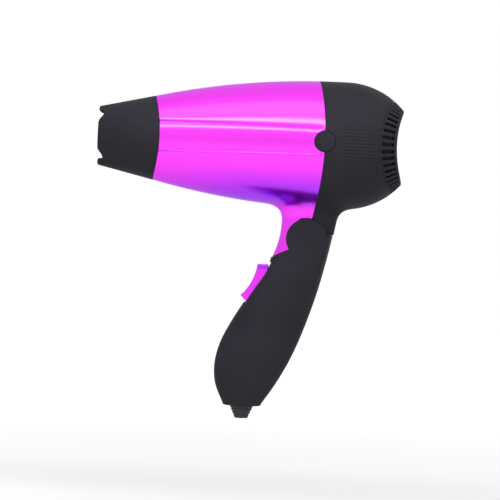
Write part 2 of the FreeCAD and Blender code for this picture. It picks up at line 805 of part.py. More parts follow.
def impeller():
    """A hub with twisted-in blades; its bore grips the motor shaft."""
    body = new_body("impeller")
    blade = pushed(body, "Pad", "XZ_Plane", "fan_radius",
                   (("fan_front", "-6"), ("fan_front + 1.6", "-6"), ("fan_rear", "5.2"),
                    ("fan_rear", "6"), ("fan_rear - 1.6", "6"), ("fan_front", "-4.6")),
                   side="One side")
    repeat_round(body, blade, "X_Axis", "fan_blades")
    turned(body, "Groove", rectangle("fan_front - 1", "fan_rear + 1", "fan_radius",
                                     "fan_radius + 9"))
    turned(body, "Revolution", (
        ("fan_front", "0"), ("fan_front", "fan_hub"), ("fan_rear - 3", "fan_hub"),
        ("fan_rear + 1", "fan_hub - 5"), ("fan_rear + 1", "0")))
    turned(body, "Groove", (
        ("fan_front - 1", "3"), ("fan_front - 1", "fan_hub - 1.4"),
        ("fan_rear - 4", "fan_hub - 1.4"), ("fan_rear - 2", "3")))
    turned(body, "Groove", rectangle("fan_front - 1", "shaft_rear + 0.5", "0",
                                     "shaft_radius + running_gap / 5"))


def motor():
    """A small brushed motor: can, end cap, bearings, magnets, shaft, core and commutator."""
    can = new_body("motor_can")
    inner = "motor_radius - motor_wall"
    nose = "bearing_radius + 1.2"
    turned(can, "Revolution", (
        (MOTOR_FRONT, inner), (MOTOR_FRONT, "motor_radius"), ("motor_rear", "motor_radius"),
        ("motor_rear", nose), ("motor_rear + 1.4", nose), ("motor_rear + 1.4", "1.6"),
        ("motor_rear + 0.6", "1.6"), ("motor_rear + 0.6", "bearing_radius"),
        ("motor_rear - motor_wall", "bearing_radius"), ("motor_rear - motor_wall", inner)))
    hole = pushed(can, "Pocket", "YZ_Plane", "motor_wall * 3", ("0", "8", "1.1"),
                  lift="motor_rear")
    repeat_round(can, hole, "X_Axis", "2")

    cap = new_body("motor_end_cap")
    turned(cap, "Revolution", (
        (f"{MOTOR_FRONT} - 2.4", "bearing_radius"), (f"{MOTOR_FRONT} - 2.4", "motor_radius"),
        (MOTOR_FRONT, "motor_radius"), (MOTOR_FRONT, f"{inner} - 0.05"),
        (f"{MOTOR_FRONT} + 2", f"{inner} - 0.05"), (f"{MOTOR_FRONT} + 2", f"{inner} - 1.6"),
        (f"{MOTOR_FRONT} + 0.6", f"{inner} - 1.6"), (f"{MOTOR_FRONT} + 0.6", "bearing_radius")))

    magnets = []
    bore = "core_radius + 0.5"
    for sign in HALF.values():
        low, high = spanned(sign, "4", "motor_radius")
        magnets.append(common(
            tube("x", f"{inner} - 0.05", bore, f"{MOTOR_FRONT} + 5", "motor_rear - 4",
                 y="0", z="0"),
            box("-motor_length", "motor_rear", low, high, "-motor_radius", "motor_radius")))
    keep(group(*magnets), "motor_magnets")

    bushes = [tube("x", "bearing_radius - 0.02", "shaft_radius + running_gap", low, high,
                   y="0", z="0")
              for low, high in (("motor_rear + 0.6 - bearing_length", "motor_rear + 0.6"),
                                (f"{MOTOR_FRONT} - 2.4",
                                 f"{MOTOR_FRONT} - 2.4 + bearing_length"))]
    keep(group(*bushes), "motor_bearings")

    keep(rod("x", "shaft_radius", "-shaft_front", "shaft_rear", y="0", z="0"), "motor_shaft")

    core = new_body("rotor_core")
    low = f"{MOTOR_FRONT} + 8"
    turned(core, "Revolution", rectangle(low, "motor_rear - 6", "shaft_radius", "core_radius"))
    slot = pushed(core, "Pocket", "YZ_Plane", "2 * motor_length",
                  (("-0.8", "core_radius + 1"), ("-0.8", "core_radius - 1.2"),
                   ("-2.6", "core_radius - 2"), ("-1", "4"), ("1", "4"),
                   ("2.6", "core_radius - 2"), ("0.8", "core_radius - 1.2"),
                   ("0.8", "core_radius + 1")))
    repeat_round(core, slot, "X_Axis", "core_slots")

    coils = [tube("x", "core_radius - 1.6", "shaft_radius + 1.2", begin, end, y="0", z="0")
             for begin, end in ((f"{low} - 2.6", low), ("motor_rear - 6", "motor_rear - 3.6"))]
    keep(group(*coils), "rotor_windings")

    ring = new_body("commutator")
    turned(ring, "Revolution", rectangle(f"{MOTOR_FRONT} + 1.2", f"{low} - 2.7",
                                         "shaft_radius", "commutator_radius"))
    gap = pushed(ring, "Pocket", "YZ_Plane", "2 * motor_length",
                 rectangle("-0.2", "0.2", "commutator_radius - 0.5", "commutator_radius + 1"))
    repeat_round(ring, gap, "X_Axis", "core_slots")

    screws = []
    for level in ("8", "-8"):
        top = f"motor_rear + running_gap + cup_wall"
        head = rod("x", "2.1", top, f"{top} + 1.2", y="0", z=level)
        shank = rod("x", "1.05", "motor_rear - 1.6", f"{top} + 0.2", y="0", z=level)
        blade = box(f"{top} + 0.7", f"{top} + 2", "-1.4", "1.4", f"({level}) - 0.25",
                    f"({level}) + 0.25")
        screws.append(cut(fuse(head, shank), blade))
    keep(group(*screws), "motor_screws")

    rear = f"({MOTOR_FRONT} - 4.4)"
    board = cut(rod("x", "motor_radius - 2", f"{rear} - 1.2", rear, y="0", z="0"),
                rod("x", "shaft_radius + 1", "-60", "0", y="0", z="0"))
    keep(board, "rectifier_board")
    legs = [box(rear, f"{MOTOR_FRONT} - 2.4", "-1.2", "1.2", low, high)
            for low, high in (("8.5", "9.1"), ("-9.1", "-8.5"))]
    keep(group(*legs), "motor_terminals")
    diodes = [rod("z", "1.3", "-2.6", "2.6", x=f"{rear} - 2.6", y=across)
              for across in ("-7.5", "-4", "4", "7.5")]
    keep(group(*diodes), "rectifier_diodes")


# ---- heater ----

def heater():
    """Mica tube, crossed mica boards, the coil wound in their notches and two cut-outs."""
    keep(tube("x", "shield_radius", "shield_radius - shield_wall", "-shield_front",
              "fit_gap - throat_x - 2.4", y="0", z="0"), "heat_shield")
    middle = "-(mica_front + mica_rear) / 2"
    for label, role, slot in (
            ("mica_board_upright", "XZ_Plane", (middle, "-mica_rear + 1")),
            ("mica_board_flat", "XY_Plane", ("-mica_front - 1", middle))):
        board = new_body(label)
        pushed(board, "Pad", role, "mica_thickness",
               rectangle("-mica_front", "-mica_rear", "-mica_half", "mica_half"))
        half_slot = "mica_thickness / 2 + mica_fit"
        pushed(board, "Pocket", role, "mica_thickness * 4",
               rectangle(slot[0], slot[1], f"-({half_slot})", half_slot))
        seat = "coil_radius - coil_wire - mica_fit"
        notch = "(coil_wire + mica_fit)"
        for edge, far in ((seat, "mica_half + 1"), ("-mica_half - 1", f"-({seat})")):
            cutout = pushed(board, "Pocket", role, "mica_thickness * 4",
                            rectangle(f"-coil_front - {notch}", f"{notch} - coil_front",
                                      edge, far))
            repeat_along(board, cutout, "X_Axis", "coil_pitch * (coil_turns - 1)",
                         "coil_turns")
    turns = []
    for k in range(int(value("coil_turns"))):
        turn = doc.addObject("Part::Torus", "turn")
        turn.Placement = FreeCAD.Placement(V(), TURN["x"])
        bind(turn, "Radius1", "coil_radius")
        bind(turn, "Radius2", "coil_wire")
        turns.append(move(turn, x=f"{k} * coil_pitch - coil_front"))
    for k in range(int(value("coil_turns")) - 1):
        side = "1" if k % 2 else "-1"
        turns.append(rod("x", "coil_wire * 0.9", f"{k} * coil_pitch - coil_front",
                         f"{k + 1} * coil_pitch - coil_front",
                         y=f"{side} * coil_radius * 0.7071", z="coil_radius * 0.7071"))
    keep(fuse(*turns), "heating_coil")

    lift = "mica_thickness / 2"
    strip = fuse(box("-62", "-52", "6", "13", lift, f"{lift} + 1.6"),
                 box("-62", "-60.6", "8.4", "10.6", lift, f"{lift} + 4"),
                 box("-62", "-48", "8.4", "10.6", f"{lift} + 3.4", f"{lift} + 4"))
    keep(strip, "thermostat")
    fuse_body = fuse(rod("x", "1.6", "-60", "-51", y="9.5", z=f"-({lift}) - 1.7"),
                     rod("x", "0.4", "-64", "-47", y="9.5", z=f"-({lift}) - 1.7"))
    keep(fuse_body, "thermal_fuse")


# ---- handle ----

GRIP_SCREWS = (("-7", "-98"), ("-24", "-119"), ("-46", "-138"))


def tilted(points, low, high):
    """A slab drawn in the rocker's own frame: across = inwards, up = along the face."""
    solid = slab(points, low, high)
    sketch = solid.Base
    sketch.Placement = FreeCAD.Placement(
        V(), Rotation(V(0, 1, 0), value("rocker_tilt")) * Rotation(V(1, 0, 0), 90))
    return move_sketch(sketch, solid, low)


def move_sketch(sketch, solid, low):
    move(sketch, x="rocker_x", y=low, z="rocker_z")
    return solid


def hinge_sector(radius, half_width):
    """Room for the neck's lip as the handle folds, in the plane of the hinge."""
    solid = rod("y", radius, f"-({half_width})", half_width, x="hinge_x", z="hinge_z")
    start = -value("lip_angle + fold_angle + fold_margin")
    solid.Placement = FreeCAD.Placement(V(), TURN["y"] * Rotation(V(0, 0, 1), start))
    bind(solid, "Angle", "fold_angle + 2 * fold_margin")
    return move(solid, x="hinge_x", y=f"-({half_width})", z="hinge_z")


def handle_solid():
    """Both halves of the handle as one hollow solid."""
    grip = stations("grip", range(1, 11))
    above = above_shoulders("fit_gap")
    round_seat = rod("y", "tongue_radius + fit_gap", "-tongue_half_width - fit_gap",
                     "tongue_half_width + fit_gap", x="hinge_x", z="hinge_z")
    body = cut(grip, above, round_seat)
    body = cut(body, hinge_sector("lip_root_radius", "lip_root_half_width"))
    body = cut(body, hinge_sector("lip_radius + 0.9", "lip_half_width"))
    ears = []
    for sign in HALF.values():
        for radius, near, far in (("ear_radius", "ear_inner", "cheek_outer"),
                                  ("journal_radius", "journal_end", "ear_inner + 1")):
            low, high = spanned(sign, near, far)
            ears.append(rod("y", radius, low, high, x="hinge_x", z="hinge_z"))
    body = fuse(body, *ears)
    cavity = stations("grip", range(4, 10), "grip_wall")
    body = cut(body, cavity)
    window = tilted((("2", "-rocker_gap - 11.2"), ("2", "16"), ("-24", "16"),
                     ("-24", "-rocker_gap - 11.2")), "-rocker_half - rocker_gap",
                    "rocker_half + rocker_gap")
    well = tilted((("1", "-switch_half_height - 0.1"), ("1", "switch_half_height + 0.1"),
                   ("2.2 + switch_depth", "switch_half_height + 0.1"),
                   ("2.2 + switch_depth", "-switch_half_height - 0.1")),
                  "-switch_half_width - 0.1", "switch_half_width + 0.1")
    pin_hole = rod("y", "rocker_pin_radius + running_gap", "-10.6", "10.6",
                   x="rocker_x", z="rocker_z")
    duct = rod("z", "wire_bore", "grip_level_4 - 2", "hinge_z - lip_radius + 4",
               x="hinge_x", y="0")
    exit_hole = rod("z", "gland_top_radius + 0.1", "-170", "-150", x="gland_x", y="0")
    pocket = rod("z", "gland_flange_radius + 0.1", "grip_level_10 + 4 - gland_flange",
                 "grip_level_9 + 3", x="gland_x", y="0")
    return cut(cut(cut(body, window), well), pin_hole, duct, exit_hole, pocket)


def handle_halves():
    """Left and right half shells with screw posts; the screws enter from the right."""
    whole = handle_solid()
    inside = stations("grip", range(4, 11), "0.6")
    for side, sign in HALF.items():
        low, high = spanned(sign, "0", REACH)
        half = common(whole, box("-90", "40", low, high, "-180", "0"))
        low, high = spanned(sign, "0", "13")
        posts = [common(rod("y", "grip_boss_radius", low, high, x=x, z=z), inside)
                 for x, z in GRIP_SCREWS]
        half = fuse(half, *posts)
        for x, z in GRIP_SCREWS:
            if side == "left":
                half = cut(half, rod("y", "grip_screw_radius + running_gap", "-9", "1",
                                     x=x, z=z))
            else:
                half = cut(half, rod("y", "grip_screw_radius + 0.3", "-1", "20", x=x, z=z))
                half = cut(half, rod("y", "screw_head_radius + 0.4", "7", "20", x=x, z=z))
        keep(half, f"handle_{side}")


def handle_screws():
    keep(group(*[screw(x, z, "8.6", "-8", "screw_head_radius", "grip_screw_radius", 1)
                 for x, z in GRIP_SCREWS]), "handle_screws")


def hinge_rings():
    """Bushes in the neck's walls and thin friction washers under the ears."""
    inner = "journal_radius + running_gap"
    for label, outer, bore, near, far in (
            ("hinge_bush", f"{inner} + bush_wall", inner, "neck_bore_half + 0.1",
             "recess_floor - 0.05"),
            ("hinge_washer", "ear_radius - 1", "journal_radius + 0.4",
             "recess_floor + running_gap", "recess_floor + running_gap + washer_thickness")):
        for side, sign in HALF.items():
            low, high = spanned(sign, near, far)
            keep(tube("y", outer, bore, low, high, x="hinge_x", z="hinge_z"),
                 f"{label}_{side}")


def rocker():
    """The three-position rocker: hollow finger face, raised ends, a hub on its pin."""
    shape = tilted((
        ("-4.1", "15"), ("-9.5", "11.4"), ("-8.6", "9.6", "30", -1), ("-6.4", "-7.4"),
        ("-7.2", "-9.6"), ("-1.6", "-11.1"), ("0.6", "-6"), ("1.6", "-2"), ("1.6", "2"),
        ("-1.2", "11")), "-rocker_half", "rocker_half")
    bore = rod("y", "rocker_pin_radius + running_gap", "-10", "10", x="rocker_x", z="rocker_z")
    keep(cut(shape, bore), "rocker")
    keep(rod("y", "rocker_pin_radius", "-10.4", "10.4", x="rocker_x", z="rocker_z"),
         "rocker_pin")


def switch():
    face = "2.1"
    keep(tilted(((face, "-switch_half_height"), (face, "switch_half_height"),
                 (f"{face} + switch_depth", "switch_half_height"),
                 (f"{face} + switch_depth", "-switch_half_height")),
                "-switch_half_width", "switch_half_width"), "switch_body")
    tabs = [tilted(((f"{face} + switch_depth", f"{level} - 0.4"),
                    (f"{face} + switch_depth", f"{level} + 0.4"),
                    (f"{face} + switch_depth + 5", f"{level} + 0.4"),
                    (f"{face} + switch_depth + 5", f"{level} - 0.4")), "-2.2", "2.2")
            for level in ("5.5", "0", "-5.5")]
    keep(group(*tabs), "switch_terminals")


def cord_parts():
    """The strain-relief gland at the end of the handle and the clamp bar above it."""
    gland = new_body("cord_gland")
    made, sketch = feature(gland, "Revolution", "XZ_Plane", ((
        ("gland_x + gland_bore", "grip_level_10 + 4"),
        ("gland_x + gland_flange_radius", "grip_level_10 + 4"),
        ("gland_x + gland_flange_radius", "grip_level_10 + 4 - gland_flange"),
        ("gland_x + gland_top_radius - 0.2", "grip_level_10 + 4 - gland_flange"),
        ("gland_x + gland_top_radius - 0.2", "grip_level_10"),
        ("gland_x + gland_top_radius", "grip_level_10 - 0.2"),
        ("gland_x + gland_tip_radius", "grip_level_10 - gland_drop"),
        ("gland_x + gland_bore", "grip_level_10 - gland_drop")),))
    axis = sketch.addGeometry(Part.LineSegment(V(value("gland_x"), -150, 0),
                                               V(value("gland_x"), -160, 0)), True)
    sketch.addConstraint(Sketcher.Constraint("Vertical", axis))
    pin_down(sketch, axis, 1, "gland_x", "-150")
    sketch.addConstraint(Sketcher.Constraint("Distance", axis, 10))
    made.ReferenceAxis = (sketch, ["Axis0"])
    made.Angle = 360
    gland.Tip = made
    keep(cut(box("gland_x - 6", "gland_x + 6", "-4.6", "4.6", "-150.4", "-147.4"),
             rod("z", "gland_bore", "-152", "-145", x="gland_x", y="0")), "cord_clamp")


def wiring():
    """Three conductors from the cord to the switch and from the switch up the neck."""
    across = [f"{k} * wire_pitch" for k in (-1, 0, 1)]
    lower = (("gland_x", "-146"), ("gland_x + 3", "-136"), ("-31", "-114"), ("-21.5", "-103"))
    upper = (("-15.5", "-94"), ("-12", "-88"), ("hinge_x", "-84"), ("hinge_x", "-80"))
    head = (("hinge_x", "-62"), ("hinge_x + 1", "-48"), ("-10", "-38"), ("-14", "-32.4"),
            ("-22", "-28.5"), ("-27", "-18"), ("-31", "-13"))
    keep(group(*[wire(lower, y) for y in across]), "handle_wires")
    keep(group(*[wire(upper, y) for y in across]), "hinge_wires")
    keep(group(*[wire(head, y) for y in across]), "head_wires")


def build():
    nozzle()
    front_shell()
    rear_shell()
    rear_grille()
    inlet_mesh()
    for side in HALF:
        side_cap(side)
    case_screws()
    outlet_grille()
    fan_duct()
    impeller()
    motor()
    heater()
    handle_halves()
    handle_screws()
    hinge_rings()
    rocker()
    switch()
    cord_parts()
    wiring()
    doc.recompute()


def write_parts():
    """Refuse a broken model, then write one STEP file for each sub-part."""
    for item in doc.Objects:
        if "Invalid" in item.State or "Error" in item.State:
            raise RuntimeError(f"{item.Label} failed: {item.State}")
    for part in PARTS:
        if part.Shape.isNull() or not part.Shape.isValid():
            raise RuntimeError(f"{part.Label} has no valid shape")
    os.makedirs("parts", exist_ok=True)
    for part in PARTS:
        part.Shape.exportStep(f"parts/{part.Label}.step")
        print(part.Label, len(part.Shape.Solids), round(part.Shape.Volume, 1))


build()
write_parts()
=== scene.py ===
"""A folding travel hair dryer with a push-on concentrator nozzle.

Run as a script it loads the engineering model as a fixed frame, lays finished surfaces over the
outside of it, paints what shows inside, and sets up the stage.  Shapes are worked out in
millimetres and put into the meshes in metres.  The origin lies on the barrel's axis between the
two side caps, +X points to the air intake, +Z up, and the hinge of the handle runs along Y.
"""

import math

import bmesh
import bpy
import numpy as np
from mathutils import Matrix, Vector


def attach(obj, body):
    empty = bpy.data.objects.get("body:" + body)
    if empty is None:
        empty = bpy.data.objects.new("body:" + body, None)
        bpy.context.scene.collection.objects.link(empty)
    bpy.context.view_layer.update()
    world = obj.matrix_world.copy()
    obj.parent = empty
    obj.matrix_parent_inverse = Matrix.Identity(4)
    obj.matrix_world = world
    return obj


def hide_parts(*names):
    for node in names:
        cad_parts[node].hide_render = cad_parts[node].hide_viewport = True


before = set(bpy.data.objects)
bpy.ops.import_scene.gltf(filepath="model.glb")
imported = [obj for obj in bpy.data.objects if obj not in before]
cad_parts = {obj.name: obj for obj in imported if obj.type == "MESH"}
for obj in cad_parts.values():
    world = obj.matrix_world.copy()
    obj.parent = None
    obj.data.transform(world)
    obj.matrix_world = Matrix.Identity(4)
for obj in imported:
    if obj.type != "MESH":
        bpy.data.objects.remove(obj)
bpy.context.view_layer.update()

bl_info = {
    "name": "Folding Hair Dryer",
    "version": (1, 0, 0),
    "blender": (4, 5, 0),
    "location": "3D View > Sidebar > Hair Dryer",
    "description": "Covers, handle, nozzle and finishes of a folding travel hair dryer",
    "category": "Add Mesh",
}

# ---- sizes that the engineering model fixes, in millimetres ----

BARREL_RADIUS = 38.1
CROWN = (4.9, 12.9)                 # the straight stretch of the barrel at its widest
FRONT_ARC, REAR_ARC = 441.4, 46.03  # long arcs of the barrel before and behind the crown
PARTING_ARC = 211.4                 # seam between the two covers, an arc seen from the side
OUTLET_X, OUTLET_ARC = -96.9, 79.0  # seam between nozzle and front cover
GRILLE_X, GRILLE_ARC = 32.0, 46.3   # seam between rear cover and grille
DISH_X, DISH_ARC = 42.5, 50.0       # hollow rear face
SEAM_GAP = 0.2
COVER_WALL = 2.0
CAP_RADIUS, CAP_GAP, CAP_FACE, TAB_FACE = 6.1, 0.3, 38.2, 35.5
NOZZLE_TIP = -134.4
SPIGOT_RADIUS = 22.0
WELL_EDGE, WELL_WALL, WELL_BORE, WELL_FLOOR = 3.0, 2.9, 1.6, 7.1    # handle's screw wells
HINGE = (-7.8, -56.9)
EAR_RADIUS, EAR_INNER, EAR_FACE, EAR_EDGE = 12.0, 10.8, 15.2, 0.5
RECESS_FLOOR, TONGUE_RADIUS = 10.5, 13.5
SHOULDER = (-18.0, -63.7, 0.4516, -53.9)    # corner x and z, slope to the front, level behind
NECK_LEVELS = (-45.0, -57.0, -70.0)
NECK_FRONT = (-22.6, -23.7, -28.2)
NECK_REAR = (10.5, 8.3, 6.2)
NECK_HALF = 12.0
FILLET_FOOT = -45.5                  # where the fillet under the barrel ends in the neck's wall
LANDING = (-6.3, 27.2, 24.0)         # its oval on the barrel: centre x, half length, half width
GRIP = np.array((
    (-50.0, -24.3, 9.2, 15.2), (-66.0, -27.6, 6.0, 15.3), (-76.0, -30.2, 3.7, 15.5),
    (-86.0, -36.6, 1.2, 15.6), (-97.0, -43.8, -2.0, 15.6), (-108.0, -50.3, -5.6, 15.5),
    (-120.0, -56.1, -10.0, 15.2), (-132.0, -59.1, -15.3, 14.4), (-145.0, -58.4, -22.4, 12.2),
    (-158.0, -52.9, -31.0, 8.6)))           # level, front edge, rear edge, half width
GRIP_SCREWS = ((-7.0, -98.0), (-24.0, -119.0), (-46.0, -138.0))
ROCKER = (-34.2, -87.6, math.radians(33.2), 7.0)    # pin x and z, tilt, half width
GLAND = (-41.9, -158.0, -165.5, 7.2, 3.9, 2.7)      # x, top, tip, radii of top, tip and bore


# ---- meshes from arrays ----

def rounded_step(low, high, value):
    """0 below LOW, 1 above HIGH, and the cubic 3t2 - 2t3 between."""
    t = np.clip((value - low) / (high - low), 0, 1)
    return t * t * (3 - 2 * t)


def crowded(count, end, power=1.6):
    """COUNT + 1 values from 0 to 1, crowded towards 0 (END -1), 1 (END 1) or both (END 0)."""
    t = np.linspace(0, 1, count + 1)
    if end == 0:
        return 0.5 - 0.5 * np.cos(math.pi * t)
    return t ** power if end < 0 else 1 - (1 - t) ** power


def patch(points, keep=None):
    """One sheet: POINTS on a grid (rows, columns, 3) and which of its cells are kept."""
    rows, columns = points.shape[:2]
    index = np.arange(rows * columns).reshape(rows, columns)
    faces = np.stack((index[:-1, :-1], index[1:, :-1], index[1:, 1:], index[:-1, 1:]), -1)
    faces = faces[keep] if keep is not None else faces.reshape(-1, 4)
    return points.reshape(-1, 3), faces


def piece(name, sheets, body, stands_for, material, wall=0.0, sharp=32.0):
    """A mesh object from sheets in mm.  Borders that coincide are joined, the faces are turned
    outwards, a WALL in mm is grown inwards, and edges sharper than SHARP degrees stay crisp."""
    points, faces, start = [], [], 0
    for sheet in sheets:
        corners, cells = sheet if isinstance(sheet, tuple) else patch(sheet)
        points.append(corners)
        faces.append(cells + start)
        start += len(corners)
    points, faces = np.concatenate(points) / 1000, np.concatenate(faces)
    mesh = bpy.data.meshes.new(name)
    mesh.from_pydata(points.tolist(), [], faces.tolist())
    shape = bmesh.new()
    shape.from_mesh(mesh)
    bmesh.ops.remove_doubles(shape, verts=shape.verts, dist=4e-6)
    bmesh.ops.recalc_face_normals(shape, faces=shape.faces)
    shape.to_mesh(mesh)
    shape.free()
    mesh.polygons.foreach_set("use_smooth", np.ones(len(mesh.polygons), bool))
    mesh.set_sharp_from_angle(angle=math.radians(sharp))
    mesh.materials.append(material)
    made = bpy.data.objects.new(name, mesh)
    bpy.context.scene.collection.objects.link(made)
    if wall:
        thicken = made.modifiers.new("wall", "SOLIDIFY")
        thicken.thickness = wall / 1000
        thicken.offset = -1.0
        thicken.use_even_offset = False
    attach(made, body)
    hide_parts(*stands_for)
    return made


def turned(profile, count, axis, centre=(0.0, 0.0, 0.0)):
    """A PROFILE of (along, radius) pairs turned round X, Y or Z through CENTRE."""
    profile = np.asarray(profile, float)
    angle = np.linspace(0, 2 * math.pi, count + 1)
    along = np.broadcast_to(profile[:, :1], (len(profile), count + 1))
    across = profile[:, 1:] * np.cos(angle)
    up = profile[:, 1:] * np.sin(angle)
    order = {"X": (along, across, up), "Y": (across, along, up), "Z": (across, up, along)}
    return np.stack(order[axis], -1) + np.asarray(centre)


def softened(corners, radius, closed=True, steps=6):
    """A polyline whose corners are rounded: each corner is replaced by a quadratic arc that
    starts and ends RADIUS along its two sides, or less where a side is short."""
    corners = np.asarray(corners, float)
    before, after = np.roll(corners, 1, 0), np.roll(corners, -1, 0)
    into, out = before - corners, after - corners
    long_in = np.linalg.norm(into, axis=1, keepdims=True)
    long_out = np.linalg.norm(out, axis=1, keepdims=True)
    start = corners + into / long_in * np.minimum(radius, 0.45 * long_in)
    end = corners + out / long_out * np.minimum(radius, 0.45 * long_out)
    t = np.linspace(0, 1, steps)[None, :, None]
    arcs = (1 - t) ** 2 * start[:, None] + 2 * t * (1 - t) * corners[:, None] + t * t * end[:, None]
    if not closed:
        arcs[0], arcs[-1] = corners[0], corners[-1]
    return arcs.reshape(-1, corners.shape[1])


# ---- covers of the head ----

def barrel_radius(x):
    """A long arc up to the crown, a straight crown, and a short arc down to the rear rim."""
    front = BARREL_RADIUS - FRONT_ARC + np.sqrt(FRONT_ARC ** 2 - np.minimum(x - CROWN[0], 0) ** 2)
    rear = BARREL_RADIUS - REAR_ARC + np.sqrt(REAR_ARC ** 2 - np.maximum(x - CROWN[1], 0) ** 2)
    return np.minimum(front, rear)


def arc_seam(x, arc, sign, z):
    """A circle of radius ARC seen from the side, touching x = X at mid-height."""
    return x - sign * (arc - np.sqrt(arc ** 2 - z ** 2))


def seam_on_barrel(x, arc, sign, phi):
    """Where that circle meets the barrel at the angle PHI, by repeated substitution."""
    at = np.full(np.shape(phi), float(x))
    for _ in range(40):
        at = 0.5 * at + 0.5 * arc_seam(x, arc, sign, barrel_radius(at) * np.sin(phi))
    return at


def band_half(x):
    """Half height of the raised band along each side."""
    return 7.3 - 1.5 * x / 97.0


def skin(x, phi, drop=0.0, ribs=0.0, inset=0.0):
    """The barrel at X and PHI (0 on the right, 90 degrees on top).  Within the band the surface
    falls by DROP towards the two creases as a parabola, beyond them it recovers exponentially.
    RIBS deep cosine ribs run along the side of the rear cover and fade at their ends."""
    x, phi = np.broadcast_arrays(x, phi)
    radius = barrel_radius(x) - inset
    z = radius * np.sin(phi)
    share = np.abs(z) / band_half(x)
    fall = np.where(share < 1, share ** 4, np.exp(-(share - 1) * band_half(x) / 0.75))
    on = rounded_step(-1.0, -4.0, x) if drop else 0.0
    field = (rounded_step(7.0, 12.0, x) * rounded_step(38.0, 30.0, x)
             * rounded_step(25.0, 17.0, z) * rounded_step(-20.0, -13.0, z))
    radius = radius - drop * fall * on - ribs * field * (0.5 - 0.5 * np.cos(math.pi * z)) ** 2
    return np.stack((x, radius * np.cos(phi), radius * np.sin(phi)), -1)


def window_ring(window, centre, radius, steps, surface):
    """Rings from a window's border (x and phi pairs) to a round edge of RADIUS on the barrel:
    straight blends in x and z, laid back on the SURFACE."""
    x, phi = window[:, 0], window[:, 1]
    side = np.sign(np.cos(phi[len(phi) // 2]))
    z = barrel_radius(x) * np.sin(phi)
    angle = np.arctan2(z - centre[1], x - centre[0])
    t = crowded(steps, 0)[:, None]
    ring_x = (1 - t) * x + t * (centre[0] + radius * np.cos(angle))
    ring_z = (1 - t) * z + t * (centre[1] + radius * np.sin(angle))
    ring_phi = np.arcsin(np.clip(ring_z / barrel_radius(ring_x), -1, 1))
    ring_phi = ring_phi if side > 0 else math.pi - ring_phi
    return surface(ring_x, ring_phi)


def well(rim, floor_y, shrink):
    """A round well below the last ring of a patch: a wall down to FLOOR_Y, then its floor."""
    side = np.sign(rim[len(rim) // 2, 1])
    foot = rim.copy()
    foot[:, 1] = side * floor_y
    middle = foot * np.array((shrink, 1, shrink))
    lip = rim * np.array((0.985, 1, 0.985))
    lip[:, 1] -= side * 0.15
    return np.stack((rim, lip, foot * np.array((0.985, 1, 0.985)), middle))


def neck_section(z):
    """Centre and half length of the neck's oval at the level Z: parabolas through three levels."""
    front = np.polyval(np.polyfit(NECK_LEVELS, NECK_FRONT, 2), z)
    rear = np.polyval(np.polyfit(NECK_LEVELS, NECK_REAR, 2), z)
    return (front + rear) / 2, (rear - front) / 2


def shoulder_level(x, gap=0.0):
    """The line where the neck ends and the handle begins."""
    return np.minimum(SHOULDER[1] + SHOULDER[2] * (x - SHOULDER[0]), SHOULDER[3]) - gap


def collar(window, turn, at_front, surface):
    """The neck's half grown out of a window in the barrel.  TURN runs from the seam on the right
    round to the seam on the left.  Rings go from the window to an oval landing line, follow a
    cubic fillet down to the neck's oval, run down its wall, and end at the shoulder."""
    gap = (-1.0 if at_front else 1.0) * SEAM_GAP / 2
    seam_turn = min(abs(turn[0]), abs(2 * math.pi - turn[0]))
    around, fade = 27.0, 6.0    # mean radius of the landing, and how far a shift carries round it

    def ends(points):
        """The first and last column lie in the seam between the covers, and the columns near
        them move along, less and less with their distance."""
        for column in (0, -1):
            seam = arc_seam(0.0, PARTING_ARC, 1.0, points[..., column, 2]) + gap
            shift = (seam - points[..., column, 0])[..., None]
            points[..., 0] += shift * np.exp(-np.abs(turn - turn[column]) * around / fade)
        return points

    def oval(z):
        """The neck's oval at the levels Z, its angles stretched so that they end at the seam."""
        centre, half = neck_section(z)
        cosine = (arc_seam(0.0, PARTING_ARC, 1.0, z) + gap - centre) / half
        seam = np.arccos(np.clip(cosine, -0.95, 0.95))
        bent = (math.pi + (turn - math.pi) * (math.pi - seam) / (math.pi - seam_turn)
                if at_front else turn * seam / seam_turn)
        return np.stack((centre + half * np.cos(bent), NECK_HALF * np.sin(bent), z), -1)

    middle, reach, spread = LANDING[0], LANDING[1], LANDING[2] / BARREL_RADIUS
    landing_x = middle + reach * np.cos(turn)
    landing_phi = -math.pi / 2 + spread * np.sin(turn)
    t = crowded(10, 0)[:, None]
    flat = surface((1 - t) * window[:, 0] + t * landing_x, (1 - t) * window[:, 1] + t * landing_phi)
    landing = flat[-1]
    inner = surface(middle + (reach - 1) * np.cos(turn),
                    -math.pi / 2 + (spread - 1 / BARREL_RADIUS) * np.sin(turn))
    slope = inner - landing
    slope /= np.linalg.norm(slope, axis=1, keepdims=True)
    top = np.full(turn.shape, FILLET_FOOT)
    wall_top, below = oval(top), oval(top - 1.0)
    length = np.linalg.norm(wall_top - landing, axis=1, keepdims=True)
    t = np.linspace(0, 1, 21)[:, None, None]
    fillet = ((2 * t ** 3 - 3 * t ** 2 + 1) * landing + (t ** 3 - 2 * t ** 2 + t) * slope * length
              * 1.2 + (3 * t ** 2 - 2 * t ** 3) * wall_top
              + (t ** 3 - t ** 2) * (below - wall_top) * length * 1.4)
    rim = top.copy()
    for _ in range(12):
        rim = shoulder_level(oval(rim)[..., 0])
    t = np.linspace(0, 1, 33)[:, None]
    x, y, z = np.moveaxis(oval((1 - t) * top + t * rim), -1, 0)
    from_pin = np.hypot(x - HINGE[0], z - HINGE[1])
    hidden = rounded_step(EAR_RADIUS + 0.1, EAR_RADIUS - 0.7, from_pin)
    y = y + (np.clip(y, -RECESS_FLOOR, RECESS_FLOOR) - y) * hidden
    wall = np.stack((x, y, z), -1)
    return [ends(part) for part in (flat, fillet, wall)]


